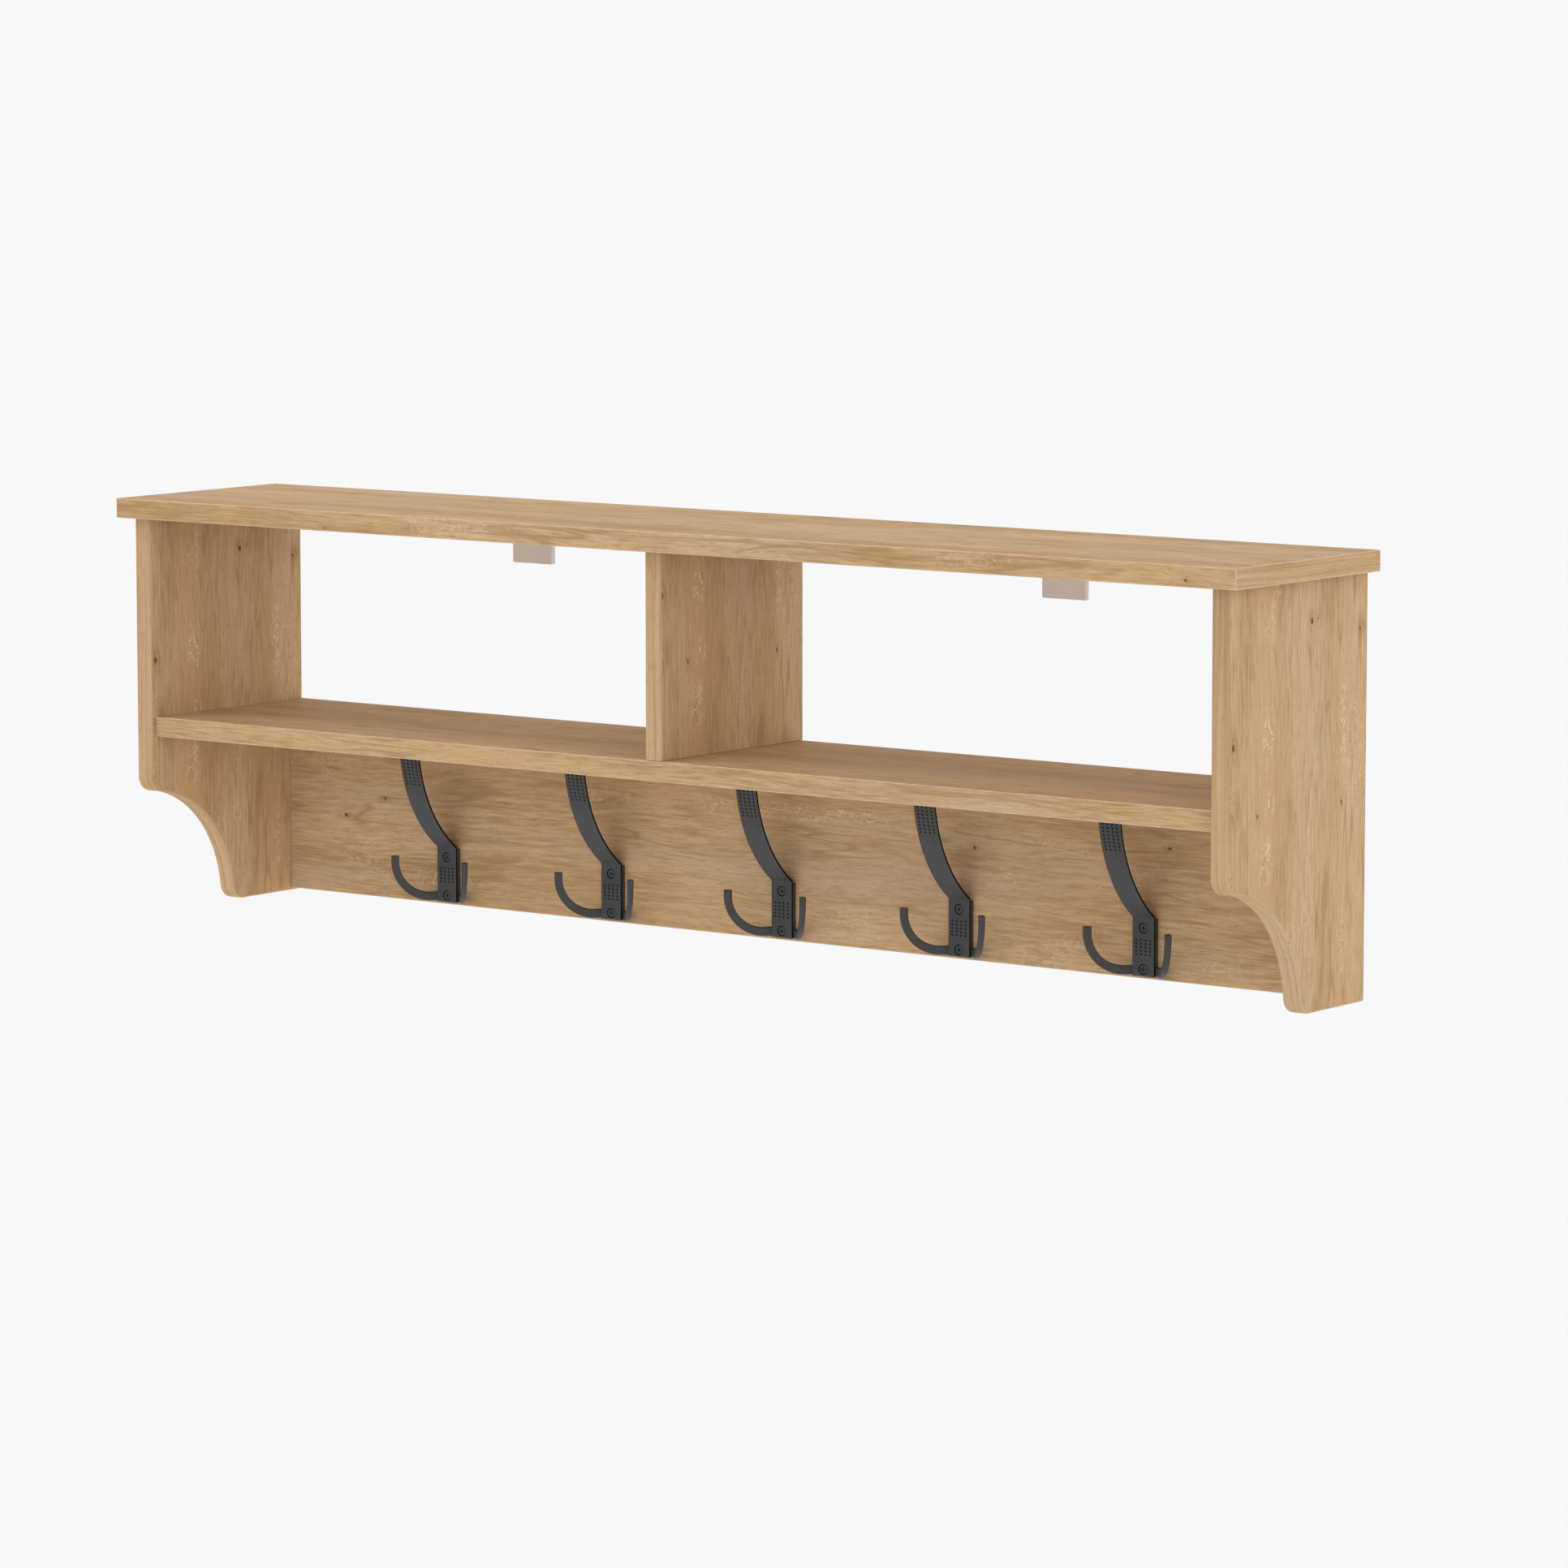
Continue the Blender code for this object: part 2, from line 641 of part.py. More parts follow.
def prong_path():
    """Middle line of the right-hand prong from the hook's middle: (point, ahead, across).
    Ahead is the bar's direction, and across is level and at right angles to it."""
    y = (BACKING_FRONT + BACKING_BACK) / 2
    plan = trace_path(
        (0, y),
        0,
        [(PRONG_BEND_X, 0, 1), (PRONG_BEND_RADIUS, -PRONG_SPLAY, PRONG_BEND_STEPS)],
    )
    path = []
    for point, angle in plan:
        ahead = Vector((math.cos(angle), math.sin(angle), 0))
        path.append((Vector((*point, PRONG_LEVEL)), ahead, Z.cross(ahead)))
    corner, level_ahead, across = path[-1]
    curl = trace_path(
        (0, 0),
        0,
        [
            (PRONG_RUN, 0, 1),
            (PRONG_CURL_RADIUS, 90, PRONG_CURL_STEPS),
            (PRONG_TIP - PRONG_LEVEL - PRONG_CURL_RADIUS, 0, 1),
        ],
    )
    for (run, rise), angle in curl[1:]:
        point = corner + level_ahead * run + Z * rise
        ahead = level_ahead * math.cos(angle) + Z * math.sin(angle)
        path.append((point, ahead, across))
    return path


def bar_section(height, thickness):
    """A rectangle with its corners taken off, as (up, across) pairs."""
    up = height / 2
    out = thickness / 2
    cut = PRONG_CORNER * min(up, out)
    corners = []
    for sign_up, sign_out in ((1, 1), (-1, 1), (-1, -1), (1, -1)):
        pair = [(sign_up * (up - cut), sign_out * out), (sign_up * up, sign_out * (out - cut))]
        corners += pair if sign_up * sign_out < 0 else pair[::-1]
    return corners


def add_prong_bar(bm):
    """One bar from the left tip, behind the strap, to the right tip."""
    right = prong_path()
    left = []
    for point, ahead, across in right[:0:-1]:
        point = Vector((-point.x, point.y, point.z))
        ahead = Vector((ahead.x, -ahead.y, -ahead.z))
        left.append((point, ahead, Vector((-across.x, across.y, 0))))
    last = len(right) - 1
    rings = []
    for step, (point, ahead, across) in enumerate(left + right):
        share = abs(step - last) / last
        growth = max(0.0, share - PRONG_SLIM_SHARE) / (1 - PRONG_SLIM_SHARE)
        height = PRONG_BASE_HEIGHT + (PRONG_TIP_HEIGHT - PRONG_BASE_HEIGHT) * share
        thickness = PRONG_BASE_THICKNESS
        thickness += (PRONG_TIP_THICKNESS - PRONG_BASE_THICKNESS) * growth
        up = ahead.cross(across)
        ring = []
        for rise, out in bar_section(height, thickness):
            ring.append(bm.verts.new(point + up * rise + across * out))
        rings.append(ring)
    join_rings(bm, rings)


def make_prongs(material):
    """Backing plates behind the straps, each with a prong to the left and to the right."""
    bm = bmesh.new()
    half = STRAP_WIDTH / 2
    top = PLATE_KNEE - BACKING_DROP
    add_box(bm, (-half, BACKING_FRONT, PLATE_BOTTOM), (half, BACKING_BACK, top))
    plate = link_object("hook_prongs", bm, material)
    bar = bmesh.new()
    add_prong_bar(bar)
    holes = bmesh.new()
    radius = HOOK_SCREW_SHANK + PRONG_HOLE_GAP
    for level in HOOK_SCREW_LEVELS.values():
        base = Vector((0, BACKING_FRONT - OVERCUT, level))
        add_turned(holes, base, Y, [(0, radius), (BACKING_THICKNESS + 2 * OVERCUT, radius)])
    helpers = [make_cutter("prong_bar", bar), make_cutter("prong_holes", holes)]
    combine(plate, helpers[0], "UNION")
    combine(plate, helpers[1])
    mesh = finish_mesh(plate, helpers)
    for number, x in enumerate(hook_centres(), start=1):
        place_copy(f"hook_prongs_{number}", mesh, (x, 0, 0))


# ------------------------------------------------------------ angle brackets


def angle_outline(back, top, reach, drop, depth):
    """An L in the (y, z) plane: one leg down the wall, one leg forward under the top."""
    return [
        (back, top),
        (back, drop),
        (depth[0], drop),
        (depth[0], depth[1]),
        (reach, depth[1]),
        (reach, top),
    ]


def angle_screw_places():
    """Name and lowest point of the axis of each screw that holds an angle to the top board."""
    z = TOP_UNDERSIDE - 2 * GAP - ANGLE_THICKNESS - ANGLE_SCREW_HEAD_HEIGHT
    places = []
    for word, bay in (("left", -BAY_MIDDLE), ("right", BAY_MIDDLE)):
        for number, offset in enumerate((-0.5, 0.5), start=1):
            point = Vector((bay + offset * ANGLE_SCREW_SPREAD, ANGLE_SCREW_Y, z))
            places.append((f"angle_screw_{word}_{number}", point))
    return places


def make_bracket_pilots():
    """Pilot holes of the angle screws in the top board."""
    bm = bmesh.new()
    radius = ANGLE_SCREW_SHANK + GAP
    length = ANGLE_SCREW_HEAD_HEIGHT + ANGLE_SCREW_LENGTH + GAP
    for _, point in angle_screw_places():
        add_turned(bm, point, Z, [(0, radius), (length, radius)])
    return make_cutter("bracket_pilots", bm)


def make_angle_screws(material):
    """Pan-head screws through the angles into the top board."""
    bm = bmesh.new()
    shoulder = ANGLE_SCREW_HEAD_HEIGHT
    bulge_height, bulge_radius = ANGLE_SCREW_BULGE
    tip = shoulder + ANGLE_SCREW_LENGTH
    profile = [
        (0, ANGLE_SCREW_CROWN * ANGLE_SCREW_HEAD),
        (bulge_height * shoulder, bulge_radius * ANGLE_SCREW_HEAD),
        (shoulder, ANGLE_SCREW_HEAD),
        (shoulder, ANGLE_SCREW_SHANK),
        (tip - SCREW_POINT_LENGTH, ANGLE_SCREW_SHANK),
        (tip, SCREW_POINT_RADIUS),
    ]
    add_turned(bm, Vector(), Z, profile)
    mesh = finish_mesh(link_object("angle_screw", bm, material), [])
    for name, point in angle_screw_places():
        place_copy(name, mesh, point)


def make_angle(name, bay, material):
    """A steel angle: one leg on the wall with a screw hole, one leg under the top board."""
    top = TOP_UNDERSIDE - GAP
    outline = angle_outline(
        back=0,
        top=top,
        reach=-ANGLE_LEG,
        drop=top - ANGLE_LEG,
        depth=(-ANGLE_THICKNESS, top - ANGLE_THICKNESS),
    )
    bm = bmesh.new()
    add_prism(bm, outline, bay - ANGLE_WIDTH / 2, bay + ANGLE_WIDTH / 2)
    angle = link_object(name, bm, material)
    holes = bmesh.new()
    base = Vector((bay, -2 * ANGLE_THICKNESS, TOP_UNDERSIDE - ANGLE_WALL_HOLE_DROP))
    radius = ANGLE_WALL_HOLE
    add_turned(holes, base, Y, [(0, radius), (4 * ANGLE_THICKNESS, radius)])
    radius = ANGLE_SCREW_SHANK + BORE_GAP
    for side in (-1, 1):
        x = bay + side * ANGLE_SCREW_SPREAD / 2
        base = Vector((x, ANGLE_SCREW_Y, top - 2 * ANGLE_THICKNESS))
        add_turned(holes, base, Z, [(0, radius), (4 * ANGLE_THICKNESS, radius)])
    combine(angle, make_cutter(name + "_holes", holes))


def make_cover(name, bay, material):
    """A plastic shell over an angle, open towards the wall and the top board."""
    top = TOP_UNDERSIDE - GAP
    drop = top - COVER_LEG
    outer = angle_outline(
        back=-GAP,
        top=top,
        reach=-COVER_LEG - GAP,
        drop=drop,
        depth=(-COVER_DEPTH, TOP_UNDERSIDE - COVER_DEPTH),
    )
    bm = bmesh.new()
    add_prism(bm, outer, bay - COVER_WIDTH / 2, bay + COVER_WIDTH / 2)
    cover = link_object(name, bm, material)
    soften_edges(cover, COVER_ROUNDING, segments=2)
    inner = angle_outline(
        back=COVER_DEPTH,
        top=top + COVER_DEPTH,
        reach=-COVER_LEG - GAP + COVER_WALL,
        drop=drop + COVER_WALL,
        depth=(COVER_WALL - COVER_DEPTH, TOP_UNDERSIDE - COVER_DEPTH + COVER_WALL),
    )
    hollow = bmesh.new()
    half = ANGLE_WIDTH / 2 + GAP
    add_prism(hollow, inner, bay - half, bay + half)
    combine(cover, make_cutter(name + "_hollow", hollow))


def make_brackets(steel, plastic):
    """An angle and its cover at the back of each compartment."""
    for side, bay in (("left", -BAY_MIDDLE), ("right", BAY_MIDDLE)):
        make_angle("wall_angle_" + side, bay, steel)
        make_cover("angle_cover_" + side, bay, plastic)
    make_angle_screws(steel)


def main():
    """Builds the whole shelf."""
    clear_scene()
    materials = make_materials()
    make_boards(materials["oak_laminate"])
    make_dowels(materials["beech_wood"])
    make_cams(materials["zinc_plated_steel"])
    make_cam_bolts(materials["zinc_plated_steel"])
    make_straps(materials["black_powder_coat"])
    make_prongs(materials["black_powder_coat"])
    make_hook_screws(materials["black_powder_coat"])
    make_brackets(materials["zinc_plated_steel"], materials["taupe_plastic"])


main()
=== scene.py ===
"""The looks of the wall shelf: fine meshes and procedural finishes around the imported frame."""

from math import asin, cos, degrees, pi, radians, sin, sqrt, tan

import bmesh
import bpy
from mathutils import Matrix, Vector


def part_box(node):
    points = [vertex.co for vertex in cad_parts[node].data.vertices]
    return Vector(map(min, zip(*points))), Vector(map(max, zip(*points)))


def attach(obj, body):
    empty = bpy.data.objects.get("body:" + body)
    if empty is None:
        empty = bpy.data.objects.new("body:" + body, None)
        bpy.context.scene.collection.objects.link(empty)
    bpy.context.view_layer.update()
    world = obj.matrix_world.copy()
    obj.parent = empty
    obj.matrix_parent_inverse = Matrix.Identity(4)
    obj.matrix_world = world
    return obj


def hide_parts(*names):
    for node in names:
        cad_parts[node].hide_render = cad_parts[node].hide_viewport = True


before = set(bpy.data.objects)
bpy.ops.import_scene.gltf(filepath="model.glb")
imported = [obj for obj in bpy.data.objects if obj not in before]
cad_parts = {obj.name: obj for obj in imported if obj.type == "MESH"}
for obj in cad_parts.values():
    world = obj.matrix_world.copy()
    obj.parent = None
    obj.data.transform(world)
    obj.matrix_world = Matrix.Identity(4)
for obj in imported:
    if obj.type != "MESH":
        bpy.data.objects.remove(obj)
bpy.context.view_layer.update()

MM = 0.001
GAP = 0.3 * MM
OVERCUT = 1 * MM
X = Vector((1, 0, 0))
Y = Vector((0, 1, 0))
Z = Vector((0, 0, 1))

# Camera, lights and surroundings
CAMERA_LENS = 154.25
CAMERA_PLACE = (3.5584, -4.7686, 0.4881)
CAMERA_AZIMUTH = 36.82
CAMERA_ELEVATION = 6.90
FLOOR_LEVEL = -3.2
FLOOR_RADIUS = 300.0
DOME_RADIUS = 40.0
BACKDROP_WHITE = 0.939
FLOOR_ALBEDO = 0.934
SKY_STRENGTH = 0.80
SKY_COLOUR = (1.0, 1.0, 1.0)
SUNS = (  # name, azimuth it shines from, elevation, angular size, strength
    ("key_sun", -60, 50, 50, 0.66),
    ("side_sun", 80, 10, 50, 0.47),
    ("front_sun", 37, 8, 50, 0.27),
)

# Boards
FLAT_NORMAL = 0.97  # a face is flat where the largest part of its normal is above this
EDGE_ROUNDING = 0.8 * MM
UPRIGHT_ROUNDING = 2.5 * MM  # along the front edges of the side panels and the divider
UPRIGHT_STEPS = 5
COVE_RADIUS = 112 * MM
NOSE_RADIUS = 14.5 * MM
COVE_STEPS = 72
NOSE_STEPS = 18
PILOT_SIDES = 24  # of the thin bores for screws

# Hooks: the strap is a flat bar bent at a knee and then back along an arm
KNEE_RISE = 50.8 * MM  # from the strap's bottom to the crease
KNEE_RADIUS = 0.9 * MM
KNEE_TURN = 54
KNEE_STEPS = 10
STRAP_THICKNESS = 2 * MM
ARM_RADIUS = 130 * MM
ARM_TURN = 47.5
ARM_STEPS = 72
STRAP_EDGE = 0.35 * MM
SKIN = 0.15 * MM  # deeper than this in the strap, faces take the near-black coat of painted shade
DOT_RADIUS = 0.85 * MM
DOT_DEPTH = 1.1 * MM
DOT_WALL = 0.7  # share of the dot's depth with upright walls
DOT_FLOOR = 0.6  # share of the dot's radius
DOT_SIDES = 12
DOT_COLUMNS = 4
DOT_SPREAD = 4.75 * MM  # between columns
PLATE_DOT_ROWS = 5
PLATE_DOT_START = 18.7 * MM  # lowest row, from the strap's bottom
PLATE_DOT_PITCH = 3.15 * MM
ARM_DOT_ROWS = 8
ARM_DOT_START = 4.8 * MM  # last row, from the arm's tip
ARM_DOT_PITCH = 3.3 * MM
BACKING_THICKNESS = 3.8 * MM
BACKING_EDGE = 0.4 * MM
PRONG_LEVEL = 4.3 * MM  # middle of the cross bar, from the strap's bottom
PRONG_TIP = 42.5 * MM
PRONG_BEND_X = 11.1 * MM
PRONG_BEND_RADIUS = 5 * MM
PRONG_BEND_STEPS = 10
PRONG_SPLAY = 45.3
PRONG_RUN = 5.5 * MM
PRONG_CURL_RADIUS = 32.7 * MM
PRONG_CURL_STEPS = 40
PRONG_BASE = (8.2 * MM, 3.6 * MM)  # height and thickness of the section
PRONG_END = (7 * MM, 5.4 * MM)
PRONG_CORNER = 0.8 * MM
PRONG_CORNER_STEPS = 4
PRONG_TIP_ROUND = 0.4 * MM
PRONG_SLIM_SHARE = 0.3  # share of a prong's length before it thickens
SCREW_RISES = {"upper": 41.8 * MM, "lower": 6 * MM}
SCREW_SUNK = 0.35 * MM
SCREW_HEAD = 3.9 * MM
SCREW_SHANK = 1.9 * MM
SCREW_RIM = 0.25 * MM
SCREW_RIM_ROUND = (0.15 * MM, 0.2 * MM)  # along the screw and across it
SCREW_LENGTH = 20 * MM
SCREW_POINT = 2.6 * MM
SCREW_TIP = 0.3 * MM
SCREW_THREAD = 0.45 * MM  # depth
SCREW_CROSS = (1.6 * MM, 2.6 * MM, 1.2 * MM)  # depth, arm and width
SCREW_CROSS_TAPER = 0.7
COUNTERSINK_GAP = 2.6 * GAP

# Angle brackets
COVER_DEPTH = 7 * MM
COVER_WALL = 1.5 * MM
COVER_ROUNDING = 1.2 * MM
ANGLE_THICKNESS = 2.5 * MM
ANGLE_BEND = 2 * MM
ANGLE_BEND_STEPS = 8
ANGLE_EDGE = 0.3 * MM
ANGLE_WALL_HOLE = 3 * MM
ANGLE_WALL_HOLE_DROP = 23.7 * MM
ANGLE_SCREW_HEAD = 3.4 * MM
ANGLE_SCREW_CROWN = 0.35  # share of the head's radius that is flat
ANGLE_SCREW_BULGE = 0.8  # share of the head's height that is domed
ANGLE_SCREW_RISE = 2.1 * MM  # height of the head
ANGLE_SCREW_STEPS = 8
ANGLE_SCREW_SHANK = 1.75 * MM
ANGLE_SCREW_COLLAR = 0.5 * MM
ANGLE_SCREW_POINT = 2.8 * MM
ANGLE_SCREW_THREAD = 0.4 * MM
ANGLE_SCREW_CROSS = (1.2 * MM, 1.9 * MM, 0.8 * MM)

# Joinery
DOWEL_RADIUS = 4 * MM
DOWEL_CHAMFER = 0.8 * MM
DOWEL_FLUTES = 20
FLUTE_DEPTH = 0.25 * MM
CAM_RADIUS = 7.5 * MM
CAM_GAP = 0.7 * GAP
CAM_CHAMFER = 0.4 * MM
CAM_RIM = 1 * MM
CAM_RIM_SLOPE = 0.3 * MM
CAM_DISH = 0.5 * MM  # the face inside the rim is sunk by this
CAM_DISH_SHARE = 0.62
CAM_CROSS = (2.2 * MM, 3.9 * MM, 1.3 * MM)
CAM_CROSS_TAPER = 0.8
BOLT_THREAD_LENGTH = 11 * MM
BOLT_THREAD_RADIUS = 3 * MM
BOLT_THREAD_DEPTH = 0.55 * MM
BOLT_TIP = 0.6 * MM
BOLT_NECK_RADIUS = 2.2 * MM
BOLT_HEAD_RADIUS = 3.4 * MM
BOLT_HEAD_LENGTH = 3.2 * MM
BOLT_HEAD_SLOPE = 1 * MM
BOLT_HEAD_CHAMFER = 0.5 * MM
BOLT_SIDES = 32
THREAD_PITCH = 1.6 * MM
ROUND_SIDES = 48


# -------- mesh helpers


def new_object(name, data):
    """A new object in the scene."""
    item = bpy.data.objects.new(name, data)
    bpy.context.scene.collection.objects.link(item)
    return item


def link_object(name, bm):
    """Turns a bmesh into an object."""
    bmesh.ops.recalc_face_normals(bm, faces=bm.faces)
    mesh = bpy.data.meshes.new(name)
    bm.to_mesh(mesh)
    bm.free()
    return new_object(name, mesh)


def solid(name, build, *arguments):
    """An object with the mesh that one of the add_ functions builds."""
    bm = bmesh.new()
    build(bm, *arguments)
    return link_object(name, bm)


def round_edges(item, width, segments=3):
    """Rounds the sharp edges of an item."""
    bevel = item.modifiers.new("round_edges", "BEVEL")
    bevel.width = width
    bevel.segments = segments
    bevel.limit_method = "ANGLE"
    bevel.angle_limit = radians(40)


def combine(item, helpers, operation="DIFFERENCE"):
    """Cuts helper objects out of an item, or joins them to it."""
    for helper in helpers:
        boolean = item.modifiers.new(helper.name, "BOOLEAN")
        boolean.operation = operation
        boolean.solver = "EXACT"
        boolean.object = helper


def evaluate(item):
    """The mesh of an item with its modifiers applied."""
    view = bpy.context.evaluated_depsgraph_get()
    return bpy.data.meshes.new_from_object(item.evaluated_get(view))


def finish_mesh(item, helpers=(), reshape=None, sharp=35, inner=None):
    """Applies an item's modifiers, removes it and its helpers, and gives its smoothly shaded mesh.

    Inner, where it is given, picks the faces that take the second material by their middles.
    Reshape, where it is given, moves every point of the mesh before it is shaded.
    """
    mesh = evaluate(item)
    if inner is not None:
        for polygon in mesh.polygons:
            polygon.material_index = int(inner(polygon.center))
    if reshape is not None:
        fine = bmesh.new()
        fine.from_mesh(mesh)
        bmesh.ops.triangulate(fine, faces=fine.faces)
        for vertex in fine.verts:
            vertex.co = reshape(vertex.co)
        fine.to_mesh(mesh)
        fine.free()
    mesh.shade_smooth()
    mesh.set_sharp_from_angle(angle=radians(sharp))
    item.modifiers.clear()
    item.data = mesh
    weighted = item.modifiers.new("weighted_normals", "WEIGHTED_NORMAL")
    weighted.keep_sharp = True
    final = evaluate(item)
    for old in (item, *helpers):
        bpy.data.objects.remove(old, do_unlink=True)
    return final


def join_rings(bm, rings):
    """Skins a list of rings of vertices and caps both ends."""
    count = len(rings[0])
    for lower, upper in zip(rings, rings[1:]):
        for i in range(count):
            j = (i + 1) % count
            bm.faces.new((lower[i], lower[j], upper[j], upper[i]))
    bm.faces.new(rings[0][::-1])
    bm.faces.new(rings[-1])


def add_box(bm, low, high):
    """A closed box between two corners."""
    scale = Matrix.Diagonal((*(high - low), 1))
    bmesh.ops.create_cube(bm, size=1, matrix=Matrix.Translation((low + high) / 2) @ scale)


def add_turned(bm, base, axis, profile, sides=ROUND_SIDES, flute=0.0, flutes=0):
    """A closed turned body; its profile is a list of (distance along the axis, radius)."""
    side = axis.orthogonal().normalized()
    other = axis.cross(side)
    rings = []
    for along, radius in profile:
        ring = []
        for step in range(sides):
            angle = 2 * pi * step / sides
            reach = radius - flute * (0.5 + 0.5 * cos(flutes * angle))
            spoke = side * cos(angle) + other * sin(angle)
            ring.append(bm.verts.new(base + axis * along + spoke * reach))
        rings.append(ring)
    join_rings(bm, rings)


def add_prism(bm, outline, start, end):
    """A plate with an outline in the (y, z) plane, from x = start to x = end."""
    near = [bm.verts.new((start, y, z)) for y, z in outline]
    far = [bm.verts.new((end, y, z)) for y, z in outline]
    join_rings(bm, [near, far])


def cross_cutter(centre, sizes, taper):
    """A helper for a cross recess of (depth, arm, width) around a centre, open towards -Z."""
    depth, arm, width = sizes
    side = Z.orthogonal().normalized()
    other = Z.cross(side)
    half = width / 2
    corners = []
    for along in (side, other, -side, -other):
        across = Z.cross(along)
        corners.append(along * arm - across * half)
        corners.append(along * arm + across * half)
        corners.append(along * half + across * half)
    bm = bmesh.new()
    outside = [bm.verts.new(centre - Z * depth + corner) for corner in corners]
    inside = [bm.verts.new(centre + Z * depth + corner * taper) for corner in corners]
    join_rings(bm, [outside, inside])
    return link_object("recess", bm)


def arc_points(centre, radius, start, end, steps):
    """Points of a circular arc, angles in degrees, both ends included."""
    points = []
    for step in range(steps + 1):
        angle = radians(start + (end - start) * step / steps)
        y = centre[0] + radius * cos(angle)
        z = centre[1] + radius * sin(angle)
        points.append((y, z))
    return points


def turned_object(name, profile, *shape):
    """A turned body along Z as an object."""
    return solid(name, add_turned, Vector(), Z, profile, *shape)


def thread(start, end, root, crest, rise=0.5, fall=0.62):
    """Profile of a ridged thread. Its crest lies between two shares of the pitch."""
    profile = []
    for turn in range(int((end - start) / THREAD_PITCH)):
        foot = start + turn * THREAD_PITCH
        profile.append((foot, root))
        profile.append((foot + rise * THREAD_PITCH, crest))
        profile.append((foot + fall * THREAD_PITCH, crest))
    return profile


def screw_mesh(name, profile, cross):
    """A turned screw with a cross recess in its head."""
    screw = turned_object(name, profile)
    recess = cross_cutter(Vector(), cross, SCREW_CROSS_TAPER)
    combine(screw, [recess])
    return finish_mesh(screw, [recess])


# -------- placing pieces


def middle(node):
    """Middle of a CAD node's box."""
    low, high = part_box(node)
    return (low + high) / 2


def size(node):
    """Size of a CAD node's box along the three axes."""
    low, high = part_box(node)
    return high - low


def along_node(node, axis):
    """Start, direction and length of an axis through the middle of a CAD node's box."""
    length = abs(size(node).dot(axis))
    return middle(node) - axis * length / 2, axis, length


def nodes_of(kind):
    """The CAD nodes whose names start with a kind."""
    return [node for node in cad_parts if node.startswith(kind)]


def show(node, mesh, slot, materials, place=None, along=None, towards=None):
    """Shows a mesh in place of a CAD node. Its local +Z points along, and its local +X towards."""
    piece = new_object(node + "_shown", mesh)
    if place is not None:
        piece.location = place
    if along is not None:
        first = towards if towards is not None else along.orthogonal().normalized()
        turn = Matrix((first, along.cross(first), along)).transposed()
        piece.rotation_euler = turn.to_euler()
    if not mesh.materials:
        for material in materials:
            mesh.materials.append(material)
    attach(piece, "root")
    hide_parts(node)


# -------- materials

NOISE_LOW = 0.3  # most of a noise's values lie between these
NOISE_HIGH = 0.7


